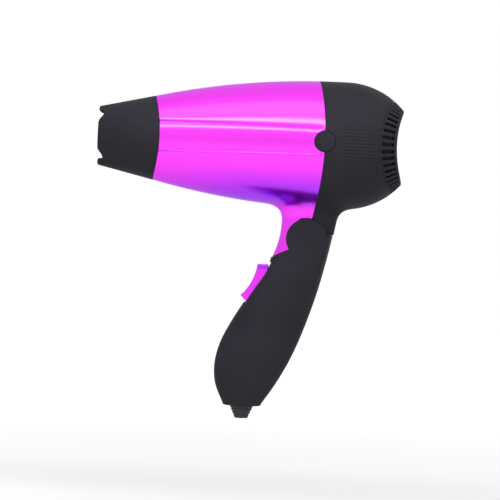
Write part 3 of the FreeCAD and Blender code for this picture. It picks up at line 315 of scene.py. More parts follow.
def knuckle(at_front):
    """The round end of the neck between the handle's ears: a crowned drum about the hinge, its
    radius an ellipse across its width, a quarter turn and a little more for each cover."""
    span = (-1.03, -0.5) if at_front else (-0.5, 0.06)
    angle = np.linspace(span[0] * math.pi, span[1] * math.pi, 40)
    half = RECESS_FLOOR - 0.05
    across = np.linspace(-half, half, 25)
    crown_reach = 17.0
    crown = (TONGUE_RADIUS - 0.1) * np.sqrt(1 - (across / crown_reach) ** 2)
    profile = np.concatenate((((0.0, -half),), np.stack((crown, across), -1), ((0.0, half),)))
    radius, y = profile[:, :1], profile[:, 1:]
    x = HINGE[0] + radius * np.cos(angle)
    z = HINGE[1] + radius * np.sin(angle)
    centre, reach = neck_section(z)
    room = NECK_HALF * np.sqrt(np.clip(1 - ((x - centre) / reach) ** 2, 0, 1)) - 0.15
    room = np.maximum(room, 0.0)
    return np.stack((x, np.clip(np.broadcast_to(y, x.shape), -room, room), z), -1)


def turn_to(x, y_arc):
    """The angle round the neck's landing oval at which the barrel point X, Y_ARC is seen."""
    return np.arctan2(y_arc / LANDING[2], (x - LANDING[0]) / LANDING[1])


def cap_wells(x, phi, surface):
    """On both sides, rings from the border of the gap in the grid X, PHI to the cap's well, and
    the well.  The gap ends at the seam between the covers."""
    ring_x = np.concatenate((x[::-1, 0], x[0, 1:-1], x[:, -1]))
    ring_phi = np.concatenate((phi[::-1, 0], phi[0, 1:-1], phi[:, -1]))
    sheets = []
    for mirror in (False, True):
        window = np.stack((ring_x, math.pi - ring_phi if mirror else ring_phi), -1)
        rings = window_ring(window, (0.0, 0.0), CAP_RADIUS + CAP_GAP, 10, surface)
        rings[0] = surface(window[:, 0], window[:, 1])
        sheets += [rings, well(rings[-1], TAB_FACE, 0.02)]
    return sheets


def neck_sheets(at_front, x_cap, x_neck, phi_neck, surface):
    """The neck's half out of its window below: along the window's side from the seam, X_CAP then
    the edge of the grid X_NECK, PHI_NECK, across its end, and back along the other side."""
    low, side = -math.pi / 2, phi_neck[0, -1]
    side_x = np.concatenate((x_cap[::-1, -1], x_neck[::-1, -1][1:]))
    half_x = np.concatenate((side_x, x_neck[0, ::-1][1:]))
    half_phi = np.concatenate((np.full(side_x.shape, side), phi_neck[0, ::-1][1:]))
    seam_turn = math.radians(81.5)
    raw = np.abs(turn_to(half_x, (half_phi - low) * BARREL_RADIUS))
    raw = (raw - raw[0]) / (raw[-1] - raw[0])
    end = math.pi if at_front else 0.0
    turn = seam_turn + (end - seam_turn) * raw
    window = np.stack((np.concatenate((half_x, half_x[-2::-1])),
                       np.concatenate((half_phi, 2 * low - half_phi[-2::-1]))), -1)
    full = 2 * math.pi - turn[-2::-1] if at_front else -turn[-2::-1]
    parts = collar(window, np.concatenate((turn, full)), at_front, surface)
    parts[0][0] = surface(window[:, 0], window[:, 1])
    return parts


def cover(at_front, drop, ribs):
    """One cover of the head: a grid from seam to seam round the barrel, open below for the neck
    and on both sides for the cap's wells, with a patch of rings in each opening."""
    sign = -1.0 if at_front else 1.0

    def surface(x, phi):
        return skin(x, phi, drop=drop, ribs=ribs)

    low = -math.pi / 2
    neck_edge, cap_edge = math.radians(40.0), -11.0 if at_front else 9.5
    neck_x = -44.0 if at_front else 27.0
    edges = (low, low + neck_edge)

    def parting(phi):
        return seam_on_barrel(0.0, PARTING_ARC, 1.0, phi) + sign * SEAM_GAP / 2

    def far(phi):
        if at_front:
            return seam_on_barrel(OUTLET_X, OUTLET_ARC, 1.0, phi) + SEAM_GAP / 2
        return seam_on_barrel(GRILLE_X, GRILLE_ARC, -1.0, phi) - SEAM_GAP

    def band(x):
        return np.arcsin((band_half(x) if at_front else 8.4) / barrel_radius(x))

    around = ((0, edges[0], edges[1], np.linspace(0, 1, 37)),
              (1, edges[1], None, crowded(30, 1, 2.2)), (2, None, None, None),
              (3, None, math.pi / 2, crowded(44, -1, 2.2)))
    ramp = np.linspace(-1, 1, 57 if at_front else 85)
    crowding = 1.5 if at_front else 1.0
    fine = 0.5 + 0.5 * np.sign(ramp) * (1 - (1 - np.abs(ramp)) ** crowding)

    def angles(x, zone):
        """Columns of one zone at the places X, as many rows as X has."""
        edge = band(x)[:, None]
        if zone == 0:
            return np.broadcast_to(edges[0] + around[0][3] * neck_edge, (len(x), 37))
        if zone == 1:
            return edges[1] + (-edge - edges[1]) * around[1][3]
        if zone == 2:
            return -edge + 2 * edge * fine
        return edge + (math.pi / 2 - edge) * around[3][3]

    stretches = {"far": crowded(34, -1, 1.3) if at_front else crowded(14, 1, 1.3),
                 "neck": crowded(20, 0), "cap": crowded(16, 1, 1.4)}

    def rows(zone, name):
        """Points of one zone over one stretch along the barrel."""
        share = stretches[name]
        columns = angles(np.zeros(len(share)), zone)
        for _ in range(6):
            start, end = parting(columns), far(columns)
            stops = {"far": (end, neck_x), "neck": (neck_x, cap_edge), "cap": (cap_edge, start)}
            a, b = stops[name]
            x = np.broadcast_to(a + (b - a) * share[:, None], columns.shape)
            middle = x[:, x.shape[1] // 2]
            columns = angles(middle, zone)
        return x, columns

    sheets, borders = [], {}
    for zone in range(4):
        for name in ("far", "neck", "cap"):
            x, phi = rows(zone, name)
            borders[zone, name] = (x, phi)
            if zone == 0 and name != "far" or zone == 2 and name == "cap":
                continue
            for mirror in (False, True):
                sheets.append(surface(x, math.pi - phi if mirror else phi))
    return (sheets + cap_wells(*borders[2, "cap"], surface)
            + neck_sheets(at_front, borders[0, "cap"][0], *borders[0, "neck"], surface))


def spigot():
    """The tube that the nozzle pushes onto, a closed profile turned round the barrel's axis."""
    step, end, wall = -96.0, -106.9, 1.8
    inner = SPIGOT_RADIUS - wall
    loop = softened(((end, inner), (end, SPIGOT_RADIUS), (step, SPIGOT_RADIUS), (step, 25.2),
                     (step + 2, 25.2), (step + 4.5, 24.9), (step + 4.5, 23.7), (step + 2, 23.7),
                     (step + 2, inner)), 0.4)
    return turned(np.concatenate((loop, loop[:1])), 96, "X")


def nozzle_sheets(drop):
    """The nozzle: round at its seat, a tall oval at the mouth.  Its half height and half width
    are parabolas along X, the side panel falls to its edges like the band, and the mouth's edge
    steps back in a notch above and below the panel."""
    half = 120
    bend = np.linspace(-1, 1, half + 1)
    phi = np.pi / 2 * (0.75 * bend + 0.25 * bend ** 3)
    share = crowded(46, 0)[:, None]
    stations = (OUTLET_X, OUTLET_X - 10, NOZZLE_TIP)
    tall = np.polyfit(stations, (26.2, 23.9, 17.6), 2)
    wide = np.polyfit(stations, (26.2, 23.9, 9.0), 2)
    x = np.broadcast_to(OUTLET_X - 3.0 - share * 30, (len(share), len(phi)))
    for _ in range(25):
        z = np.polyval(tall, x) * np.sin(phi)
        back = arc_seam(OUTLET_X, OUTLET_ARC, 1.0, z) - SEAM_GAP / 2
        level = np.abs(z)
        notch = 3.2 * rounded_step(7.4, 13.4, level) * rounded_step(15.3, 14.5, level)
        tip = NOZZLE_TIP + notch + 0.25 * rounded_step(16.6, 17.6, level)
        x = back + (tip - back) * share
    z = np.polyval(tall, x) * np.sin(phi)
    panel = np.abs(z) / (8.9 - 1.2 * (OUTLET_X - x) / 37.5)
    fall = drop * np.where(panel < 1, panel ** 4, np.exp(-(panel - 1) * 9.0))
    y = np.polyval(wide, x) * np.cos(phi) - fall * np.cos(phi)
    side = np.stack((x, y, z), -1)
    return [side, side * np.array((1, -1, 1))]


def slot_columns(count, around, width, radius):
    """Angles of COUNT cells: each has the slot of that WIDTH in its middle, so the columns of the
    slot lie at asin(WIDTH / 2 / RADIUS) from the cell's centre line, and even columns beyond."""
    cell = 2 * math.pi / count
    half = np.arcsin(np.minimum(width / 2 / radius, 0.95 * math.sin(cell / 2)))
    inner = np.linspace(-1, 1, around + 1)
    outer = np.linspace(0, 1, around + 1)[1:]
    slot = half * inner
    after = half + (cell - 2 * half) * outer
    one = np.concatenate((slot, after), -1)[..., :-1]
    start = np.arange(count)[:, None] * cell
    angles = (one[:, None, :] + start).reshape(len(one), -1)
    return np.concatenate((angles, angles[:, :1] + 2 * math.pi), -1)


def grille_sheets():
    """The intake cap: skin with slots between ribs, a rolled rim, and the hollow rear face, a
    circle seen from the side, with slots round its middle."""
    around, count = 3, 48       # columns of a slot, slots round the rim
    slots, slot_cells, slot_start, slot_end = 16, 5, 16.5, 8.5  # those round the middle
    share = np.concatenate((np.linspace(0, 0.09, 3), np.linspace(0.1, 0.86, 16),
                            np.linspace(0.9, 1, 4)))[:, None]
    x = np.full((len(share), count * around * 2 + 1), 40.0)
    for _ in range(30):
        phi = slot_columns(count, around, 2.2, barrel_radius(x[:, :1]))
        front = seam_on_barrel(GRILLE_X, GRILLE_ARC, -1.0, phi)
        rear = seam_on_barrel(DISH_X, DISH_ARC, -1.0, phi)
        x = 0.5 * x + 0.5 * (front + (rear - front) * share)
    skin_points = skin(x, phi)
    cells = np.ones((x.shape[0] - 1, x.shape[1] - 1), bool)
    column = np.arange(x.shape[1] - 1) % (2 * around)
    cells[3:-4] = column[None, :] >= around
    rim = skin_points[-1]
    radius = np.hypot(rim[:, 1], rim[:, 2])
    angle = np.unwrap(np.arctan2(rim[:, 2], rim[:, 1]))
    roll = np.linspace(0, math.pi / 2, 6)[1:, None]
    edge = 0.7
    rolled_r = radius - edge * (1 - np.cos(roll))
    rolled = np.stack((rim[:, 0] + 0 * roll, rolled_r * np.cos(angle),
                       rolled_r * np.sin(angle)), -1)
    rolled = np.concatenate((rim[None], rolled))
    outer = rolled_r[-1]
    inner = np.concatenate((np.linspace(1, 0.0, 9)[:, None] * (outer - 16.9) + 16.9,
                            np.broadcast_to(np.linspace(slot_start, slot_end, 12)[:, None],
                                            (12, len(outer))),
                            np.broadcast_to(np.linspace(8.0, 0.0, 7)[:, None], (7, len(outer)))))
    plate_cells = count // slots
    cell = 2 * math.pi / slots
    cut_half = np.arcsin(1.1 / np.clip(inner, slot_end, slot_start))
    index = np.arange(len(outer)) % (2 * around * plate_cells)
    steps = 2 * around * plate_cells
    position = index / steps
    slot_share = slot_cells / steps
    aligned = np.where(position <= slot_share, (position / slot_share * 2 - 1) * cut_half,
                       cut_half + (position - slot_share) / (1 - slot_share)
                       * (cell - 2 * cut_half))
    base = (np.arange(len(outer)) // steps) * cell
    blend_in = rounded_step(0, 8, np.arange(len(inner)))[:, None]
    turn = (1 - blend_in) * angle + blend_in * (aligned + base)
    plate_z = inner * np.sin(turn)
    plate_x = arc_seam(DISH_X, DISH_ARC, -1.0, plate_z)
    plate_x = np.where(np.arange(len(inner))[:, None] == 0, rolled[-1][:, 0], plate_x)
    plate = np.stack((plate_x, inner * np.cos(turn), plate_z), -1)
    plate[0] = rolled[-1]
    kept = np.ones((plate.shape[0] - 1, plate.shape[1] - 1), bool)
    kept[9:20] = (np.arange(plate.shape[1] - 1) % steps)[None, :] >= slot_cells
    return [patch(skin_points, cells), rolled, patch(plate, kept)]


def collar_sheets():
    """The grille's inner collar behind its slots: the barrel's own curve, 2.3 mm further in."""
    phi = np.linspace(0, 2 * math.pi, 145)
    front, wall = 27.2, 2.3
    rear = seam_on_barrel(DISH_X, DISH_ARC, -1.0, phi) - 0.9
    x = front + (rear - front) * np.linspace(0, 1, 14)[:, None]
    return [skin(x, phi, inset=wall)]


def axle_sheets():
    """The rocker's short pin, turned round its own line, with softened ends."""
    half, radius = 6.9, 1.4
    profile = softened(((-half, 0.0), (-half, radius), (half, radius), (half, 0.0)), 0.3,
                       closed=False)
    return [turned(profile, 32, "Y", (ROCKER[0], 0.0, ROCKER[1]))]


def cap_sheets(side):
    """A shallow round cap with a softened edge and a faintly domed face."""
    back, edge = TAB_FACE + 0.1, CAP_FACE - 0.12
    profile = softened(((back, 0.0), (back, CAP_RADIUS), (edge, CAP_RADIUS), (CAP_FACE, 0.0)), 0.45,
                       closed=False)
    return [turned(profile * np.array((side, 1)), 72, "Y")]


# ---- handle ----

def grip_section(z):
    """Front edge, rear edge and half width of the grip at the level Z: a cubic spline through
    the section table, each span an Hermite cubic with averaged slopes."""
    levels, table = GRIP[::-1, 0], GRIP[::-1, 1:]
    slopes = np.gradient(table, levels, axis=0)
    z = np.clip(z, levels[0], levels[-1])
    k = np.clip(np.searchsorted(levels, z) - 1, 0, len(levels) - 2)
    span = (levels[k + 1] - levels[k])[..., None]
    t = (z - levels[k])[..., None] / span
    return np.moveaxis((2 * t ** 3 - 3 * t ** 2 + 1) * table[k] + (t ** 3 - 2 * t ** 2 + t) * span
                       * slopes[k] + (3 * t ** 2 - 2 * t ** 3) * table[k + 1]
                       + (t ** 3 - t ** 2) * span * slopes[k + 1], -1, 0)


def front_power(z):
    """The power of the grip's front half at Z: 2 is an oval, and it is squarer beside the rocker's
    window, so that the wall there reaches forward to the rocker."""
    return 2 + 1.2 * rounded_step(-106.0, -88.0, z) * (1 - rounded_step(-76.0, -69.5, z))


def grip_height(x, z):
    """Half width of the handle at X, Z: the oval section, squarer at the front by the window, and
    filled up to the flat round ear at the top, which fades into the oval below the hinge."""
    front, rear, half = grip_section(z)
    across = np.clip(2 * (x - front) / (rear - front) - 1, -1, 1)
    oval = np.sqrt(1 - across ** 2)
    power = front_power(z)
    rise = np.where(across < 0, (1 - np.abs(across) ** power) ** (1 / power), oval)
    ear = rounded_step(0.05, 0.68, oval) * rounded_step(-92.0, -62.0, z)
    return half * rise + (EAR_FACE - half * rise) * ear


def grip_point(angle, z):
    """A point of the grip by the angle round its section, 0 at the front edge."""
    front, rear, _ = grip_section(z)
    x = (front + rear) / 2 - (rear - front) / 2 * np.cos(angle)
    return np.stack((x, grip_height(x, z), z), -1)


def foot_sheets(ring, foot):
    """The handle's foot below its lowest RING, at the level FOOT: a softened edge, then the flat
    end with the hole for the cord's sleeve."""
    axis = np.array((GLAND[0], 0.0))
    edge_round = 1.4
    outward = ring[:, :2] - axis
    unit = outward / np.linalg.norm(outward, axis=1, keepdims=True)
    rounded = np.stack([np.concatenate((ring[:, :2] - unit * edge_round * (1 - math.cos(a)),
                                        np.full((len(ring), 1),
                                                foot - edge_round * math.sin(a))), 1)
                        for a in np.linspace(0, math.pi / 2, 7)])
    hole = np.concatenate((axis + unit * (GLAND[3] + 0.15),
                           np.full((len(ring), 1), foot - edge_round)), 1)
    t = np.linspace(0, 1, 5)[:, None, None]
    return rounded, (1 - t) * rounded[-1] + t * hole


def ear_sheets(chord):
    """The hinge's ear above its CHORD on the shoulder: straight rulings from the chord to the
    ear's rim, then a softened edge and the wall down to its inner face."""
    start = math.atan2(chord[0, 2] - HINGE[1], chord[0, 0] - HINGE[0])
    end = math.atan2(chord[-1, 2] - HINGE[1], chord[-1, 0] - HINGE[0])
    sweep = np.linspace(start + 2 * math.pi if start < 0 else start, end, len(chord))
    t = np.linspace(0, 1, 24)[:, None]
    rim_x = HINGE[0] + (EAR_RADIUS - EAR_EDGE) * np.cos(sweep)
    rim_z = HINGE[1] + (EAR_RADIUS - EAR_EDGE) * np.sin(sweep)
    ear_x, ear_z = (1 - t) * chord[:, 0] + t * rim_x, (1 - t) * chord[:, 2] + t * rim_z
    ear_y = (1 - t) * chord[:, 1] + t * EAR_FACE
    settle = rounded_step(0.0, 0.25, t)
    ear_y = (1 - settle) * ear_y + settle * EAR_FACE
    ear = np.stack((ear_x, ear_y, ear_z), -1)
    drop = [(EAR_RADIUS - EAR_EDGE + EAR_EDGE * math.sin(a),
             EAR_FACE - EAR_EDGE + EAR_EDGE * math.cos(a))
            for a in np.linspace(0, math.pi / 2, 6)] + [(EAR_RADIUS, EAR_INNER)]
    wall = np.stack([np.stack((HINGE[0] + r * np.cos(sweep), np.full(sweep.shape, y),
                               HINGE[1] + r * np.sin(sweep)), -1) for r, y in drop])
    wall[0] = ear[-1]
    return ear, wall


def handle_sheets(side, with_wells):
    """Half of the handle: the grip from its foot to the shoulder with the rocker's window, and
    the round ear above."""
    shoulder_gap, shoulder = 0.3, -69.3
    window_half, lean, lean_reach = 7.4, math.tan(ROCKER[2]), 3.0
    below, beside = 56, 25      # rows under the window, and from its lower to its upper edge
    zone = (crowded(12, -1, 1.3), np.linspace(0, 1, 11)[1:], np.linspace(0, 1, 45)[1:],
            crowded(22, 1, 1.3)[1:])
    ear_start, ear_end = math.radians(66.1), math.radians(132.4)

    def angles(z):
        """The window's edge first, then the stretch below the ear, then the rear."""
        power = front_power(z)
        level = np.clip(window_half / grip_section(z)[2], 0, 0.93)
        edge = np.arccos((1 - level ** power) ** (1 / power))[:, None]
        return np.concatenate((edge * zone[0], edge + (ear_start - edge) * zone[1],
                               ear_start + (ear_end - ear_start) * zone[2] + 0 * edge,
                               ear_end + (math.pi - ear_end) * zone[3] + 0 * edge), -1)

    edge_low, edge_high, foot = -95.6, -71.9, -156.6
    levels = np.concatenate((np.linspace(foot, edge_low, below),
                             np.linspace(edge_low, edge_high, beside)[1:],
                             np.linspace(edge_high, shoulder, 4)[1:]))
    turn = angles(levels)
    front = grip_section(levels)[0][:, None]
    z = np.broadcast_to(levels[:, None], turn.shape)
    near = np.exp(-((levels - (edge_low + edge_high) / 2) / 22.0) ** 4)[:, None]
    for _ in range(8):
        x = grip_point(turn, z)[..., 0]
        top = shoulder_level(x, shoulder_gap)
        dip = near * lean * lean_reach * np.tanh(np.clip(x - front, 0, None) / lean_reach)
        lift = rounded_step(-100.0, shoulder, levels[:, None])
        z = levels[:, None] - dip + lift * (top - (shoulder - dip))
    for _ in range(6):
        z[-1] = shoulder_level(grip_point(turn[-1], z[-1])[..., 0], shoulder_gap)
    body = grip_point(turn, z)
    flip = np.array((1, side, 1))
    kept = np.ones((len(levels) - 1, turn.shape[1] - 1), bool)
    kept[below - 1:below + beside - 2, :len(zone[0]) - 1] = False
    first = len(zone[0]) + len(zone[1]) - 1
    chord = body[-1, first:first + len(zone[2]) + 1]
    sheets = [[body, kept]]
    sheets += [[sheet, None] for sheet in (*foot_sheets(body[0], foot), *ear_sheets(chord))]
    if with_wells:
        sheets = cut_wells(sheets)
    return [patch(points * flip, cells) for points, cells in sheets]


def cut_wells(sheets):
    """Round wells for the screws: the cells round each screw give way to rings that blend, in x
    and z, from the border of the gap to the well's edge, then a wall and a shoulder inside."""
    body, kept = sheets[0]
    reach = 3.9     # how far the gap reaches from the screw's line
    for x, z in GRIP_SCREWS:
        away = np.hypot(body[..., 0] - x, body[..., 2] - z)
        row, column = np.unravel_index(np.argmin(away), away.shape)
        low, high, left, right = row, row, column, column
        while abs(body[low, column, 2] - z) < reach:
            low -= 1
        while abs(body[high, column, 2] - z) < reach:
            high += 1
        while abs(body[row, left, 0] - x) < reach:
            left -= 1
        while abs(body[row, right, 0] - x) < reach:
            right += 1
        block = body[low:high + 1, left:right + 1]
        kept[low:high, left:right] = False
        border = np.concatenate((block[0, :-1], block[:-1, -1], block[-1, :0:-1], block[:0:-1, 0]))
        border = np.concatenate((border, border[:1]))
        turn = np.arctan2(border[:, 2] - z, border[:, 0] - x)
        t = np.linspace(0, 1, 6)[:, None]
        ring_x = (1 - t) * border[:, 0] + t * (x + WELL_EDGE * np.cos(turn))
        ring_z = (1 - t) * border[:, 2] + t * (z + WELL_EDGE * np.sin(turn))
        rings = np.stack((ring_x, grip_height(ring_x, ring_z), ring_z), -1)
        rings[0] = border
        steps = [rings[-1]]
        for radius, level in ((WELL_WALL, None), (WELL_WALL, WELL_FLOOR), (WELL_BORE, WELL_FLOOR)):
            y = rings[-1][:, 1] - 0.12 if level is None else np.full(len(turn), level)
            steps.append(np.stack((x + radius * np.cos(turn), y, z + radius * np.sin(turn)), -1))
        sheets += [[rings, None], [np.stack(steps), None]]
    return sheets


def rocker_sheets():
    """The rocker: its side outline with softened corners, swept across with rounded flanks and
    closed by drawing the outline in to its middle."""
    x, z, tilt, half = ROCKER
    hollow = np.linspace(0, 1, 9)[1:-1]
    dip = 1.15 * np.sin(math.pi * hollow)
    arc = np.stack((-8.6 + 2.2 * hollow + dip, 9.6 - 17.0 * hollow), -1)
    corners = np.concatenate((((-4.1, 15.0), (-9.5, 11.4), (-8.6, 9.6)), arc,
                              ((-6.4, -7.4), (-7.2, -9.6), (-1.6, -11.1), (0.6, -6.0), (1.6, -2.0),
                               (1.6, 2.0), (-1.2, 11.0))))
    outline = softened(corners, 0.5, steps=5)
    outline = np.concatenate((outline, outline[:1]))
    middle = np.array((-3.0, 1.5))
    rings = [(-half, 0.0), (-half, 0.55), (-half, 0.93)]
    rings += [(-half + 0.7 * (1 - math.cos(a)), 0.93 + 0.07 * math.sin(a))
              for a in np.linspace(0.3, math.pi / 2, 5)]
    rings += [(-y, scale) for y, scale in rings[::-1]]
    local = np.stack([middle + (outline - middle) * scale for _, scale in rings])
    inward, up = local[..., 0], local[..., 1]
    y = np.array([y for y, _ in rings])[:, None] + 0 * inward
    return [np.stack((x + inward * math.cos(tilt) + up * math.sin(tilt), y,
                      z - inward * math.sin(tilt) + up * math.cos(tilt)), -1)]


def gland_sheets():
    """The tapered sleeve at the cord's exit, a closed profile turned round its own axis."""
    x, top, tip, wide, narrow, bore = GLAND
    grooves = []
    for k in range(3):
        z = top - 1.6 - 1.9 * k
        r = wide + (narrow - wide) * (top - z) / (top - tip)
        grooves += [(z + 0.35, r + 0.16), (z, r - 0.45), (z - 0.35, r - 0.16)]
    loop = softened([(top + 4, bore), (top + 4, 8.0), (top + 2.6, 8.0), (top + 2.6, wide - 0.2),
                     (top, wide - 0.2)] + grooves + [(tip, narrow), (tip, bore)], 0.3)
    return [turned(np.concatenate((loop, loop[:1])), 72, "Z", (x, 0.0, 0.0))]


# ---- finishes ----

def finish_tree(name):
    """A new material with its shader, and a maker of linked nodes."""
    material = bpy.data.materials.new(name)
    material.use_nodes = True
    tree = material.node_tree
    shader = tree.nodes["Principled BSDF"]

    def node(kind, links=None, **values):
        made = tree.nodes.new(kind)
        for key, value in values.items():
            setattr(made, key, value)
        for socket, source in (links or {}).items():
            if isinstance(source, bpy.types.NodeSocket):
                tree.links.new(source, made.inputs[socket])
            else:
                made.inputs[socket].default_value = source
        return made

    def into(socket, source):
        if isinstance(source, bpy.types.NodeSocket):
            tree.links.new(source, shader.inputs[socket])
        else:
            shader.inputs[socket].default_value = source

    return material, node, into


def blended(node, low, high, share):
    """A colour between LOW and HIGH by SHARE."""
    mix = node("ShaderNodeMix", data_type="RGBA")
    mix.inputs[6].default_value, mix.inputs[7].default_value = (*low[:3], 1), (*high[:3], 1)
    mix.id_data.links.new(share, mix.inputs[0])
    return mix.outputs[2]


def spread(node, source, from_low, from_high, low, high, smooth=False):
    """SOURCE carried from one range onto another."""
    ranged = node("ShaderNodeMapRange", {0: source, 1: from_low, 2: from_high, 3: low, 4: high})
    if smooth:
        ranged.interpolation_type = "SMOOTHSTEP"
    return ranged.outputs[0]


def maths(node, operation, first, second=0.0, clamp=False):
    """One sum of two values, such as ADD, SUBTRACT, MULTIPLY, MAXIMUM or ABSOLUTE."""
    return node("ShaderNodeMath", {0: first, 1: second}, operation=operation,
                use_clamp=clamp).outputs[0]


def grain(node, scale, detail=3.0, rough=0.55, stretch=(1, 1, 1)):
    """Noise on Object coordinates, SCALE cells a metre."""
    place = node("ShaderNodeTexCoord").outputs["Object"]
    mapped = node("ShaderNodeMapping", {"Vector": place, "Scale": stretch})
    return node("ShaderNodeTexNoise", {"Vector": mapped.outputs[0], "Scale": scale,
                                       "Detail": detail, "Roughness": rough}).outputs["Fac"]


def bumped(node, into, height, strength, distance):
    """HEIGHT as bump, DISTANCE metres deep at full strength."""
    into("Normal", node("ShaderNodeBump", {"Height": height, "Strength": strength,
                                           "Distance": distance}).outputs[0])


def moulded(name, dark, light, rough, scale=2600.0, strength=0.25, gloss=0.35):
    """Moulded plastic or rubber-feel paint: a fine eroded grain in bump, slow patches in colour
    and gloss."""
    material, node, into = finish_tree(name)
    slow = grain(node, 22.0, 2.0)
    fine = grain(node, scale, 2.0, 0.6)
    into("Base Color", blended(node, dark, light, spread(node, slow, 0.3, 0.7, 0.0, 1.0)))
    into("Roughness", spread(node, slow, 0.25, 0.75, rough - 0.05, rough + 0.05))
    into("Specular IOR Level", gloss)
    bumped(node, into, fine, strength, 0.00006)
    return material


def pearl_paint(name, bright, deep, where):
    """Metallic pearl: the deep tone is painted shade, gathered under the barrel, in the creases of
    its side band and on the rocker's upper end, and elsewhere a slow random tone; a fine flake
    flickers in colour and gloss, and a clear coat lies over it."""
    material, node, into = finish_tree(name)
    place = node("ShaderNodeTexCoord").outputs["Object"]
    parts = node("ShaderNodeSeparateXYZ", {0: place}).outputs
    flake = grain(node, 5200.0, 1.0, 0.5)
    if where == "barrel":
        # painted shade under the barrel: how far down its underside a point lies, how far back, and
        # how near the neck
        low = spread(node, parts[2], -0.012, -0.0315, 0.0, 1.0, True)
        back = spread(node, parts[0], -0.115, -0.030, 0.30, 1.0, True)
        neck = spread(node, parts[2], -0.0335, -0.0400, 1.0, 0.12, True)
        painted_shade_and_tone = maths(node, "MULTIPLY", maths(node, "MULTIPLY", low, back), neck)
        # painted shade in the two creases of the side band: dark lines that near the mid-height
        # towards the caps
        edge = spread(node, parts[0], -0.097, 0.0, 0.0088, 0.0073)
        away = maths(node, "SUBTRACT", maths(node, "ABSOLUTE", parts[2]), edge)
        crease = spread(node, maths(node, "ABSOLUTE", away), 0.00008, 0.0005, 0.8, 0.0, True)
        painted_shade_and_tone = maths(node, "MAXIMUM", painted_shade_and_tone, crease)
    else:
        painted_shade_and_tone = spread(node, grain(node, 9.0, 1.0, 0.4), 0.3, 0.7, 0.0, 0.25)
    if where == "rocker":
        # painted shade on the rocker's upper end: the deep tone rises towards its top
        end = spread(node, parts[2], -0.0766, -0.0752, 0.0, 0.95, True)
        painted_shade_and_tone = maths(node, "MAXIMUM", painted_shade_and_tone, end)
    soft = maths(node, "ADD", spread(node, flake, 0.3, 0.7, -0.05, 0.05), painted_shade_and_tone, clamp=True)
    into("Base Color", blended(node, bright, deep, soft))
    into("Metallic", 0.92)
    into("Specular Tint", (0.60, 0.03, 0.88, 1.0))
    into("Roughness", spread(node, flake, 0.3, 0.7, 0.24, 0.32))
    into("Coat Weight", 0.32)
    into("Coat IOR", 2.1)
    into("Coat Roughness", 0.20)
    bumped(node, into, flake, 0.05, 0.00003)
    return material


def metal(name, colour, worn, rough, stretch=(1, 1, 1), scale=900.0):
    """Bare metal with drawn or rolled streaks along the stretched axis and duller patches."""
    material, node, into = finish_tree(name)
    streak = grain(node, scale, 3.0, 0.6, stretch)
    slow = grain(node, 45.0, 3.0)
    into("Base Color", blended(node, colour, worn, spread(node, slow, 0.35, 0.75, 0.0, 1.0)))
    into("Metallic", 1.0)
    into("Roughness", spread(node, streak, 0.3, 0.7, rough - 0.08, rough + 0.1))
    bumped(node, into, streak, 0.12, 0.00004)
    return material


def layered(name, colour, flecks, rough):
    """Pressed mica or board: pale flecks of two sizes in a matt sheet."""
    material, node, into = finish_tree(name)
    place = node("ShaderNodeTexCoord").outputs["Object"]
    cells = node("ShaderNodeTexVoronoi", {"Vector": place, "Scale": 420.0}).outputs["Distance"]
    slow = grain(node, 130.0, 4.0)
    share = maths(node, "MULTIPLY", cells, slow)
    into("Base Color", blended(node, colour, flecks, spread(node, share, 0.05, 0.35, 0.0, 1.0)))
    into("Roughness", spread(node, slow, 0.3, 0.7, rough - 0.1, rough + 0.1))
    bumped(node, into, cells, 0.2, 0.00005)
    return material


def looked_at(tree):
    """A value of 1 on the rays that show the surroundings: straight, mirrored or through glass."""
    rays = tree.nodes.new("ShaderNodeLightPath").outputs
    seen = rays["Is Camera Ray"]
    for ray in ("Is Glossy Ray", "Is Transmission Ray"):
        both = tree.nodes.new("ShaderNodeMath")
        both.operation, both.use_clamp = "ADD", True
        tree.links.new(seen, both.inputs[0])
        tree.links.new(rays[ray], both.inputs[1])
        seen = both.outputs[0]
    return seen


# ---- what the user can change ----

class DryerSizes(bpy.types.PropertyGroup):
    """Depths of the fine relief, in metres"""
    crease: bpy.props.FloatProperty(
        name="Crease Depth", description="How far the side band falls towards its two creases",
        default=0.00055, min=0.0, max=0.002, precision=5, unit="LENGTH")
    panel: bpy.props.FloatProperty(
        name="Panel Depth", description="How far the nozzle's side panel falls to its edges",
        default=0.0003, min=0.0, max=0.002, precision=5, unit="LENGTH")
    ribs: bpy.props.FloatProperty(
        name="Rib Depth", description="Depth of the fine ribs on the sides of the rear cover",
        default=0.0003, min=0.0, max=0.001, precision=5, unit="LENGTH")


class DryerColours(bpy.types.PropertyGroup):
    """Colours of the outer finishes"""
    paint: bpy.props.FloatVectorProperty(
        name="Pearl Paint", description="Main colour of the metallic covers and the rocker",
        size=3, subtype="COLOR", default=(0.88, 0.016, 0.84), min=0.0, max=1.0)
    # the colour of the painted shade under the barrel, in the band's creases and on the rocker's
    # upper end, and of a slow random tone on the plain pieces
    deep: bpy.props.FloatVectorProperty(
        name="Deep Pearl", description="Colour the paint sinks to under the barrel",
        size=3, subtype="COLOR", default=(0.38, 0.0, 0.95), min=0.0, max=1.0)
    soft: bpy.props.FloatVectorProperty(
        name="Soft Touch", description="Charcoal of the rubber-feel parts",
        size=3, subtype="COLOR", default=(0.0270, 0.0265, 0.0335), min=0.0, max=1.0)


def sizes():
    """The scene's own sizes."""
    return bpy.context.scene.dryer_sizes


def colours():
    """The scene's own colours."""
    return bpy.context.scene.dryer_colours


def soft_touch():
    """The charcoal finish, made once and shared."""
    if "soft_touch" in bpy.data.materials:
        return bpy.data.materials["soft_touch"]
    tone = np.array(colours().soft)
    return moulded("soft_touch", tone * 0.85, tone * 1.15, 0.60, gloss=0.05)


def pearl(where):
    """The pearl paint for the barrel, the rocker or a plain piece, made once and shared."""
    name = f"pearl_paint_{where}"
    if name in bpy.data.materials:
        return bpy.data.materials[name]
    return pearl_paint(name, colours().paint, colours().deep, where)


# ---- operators ----

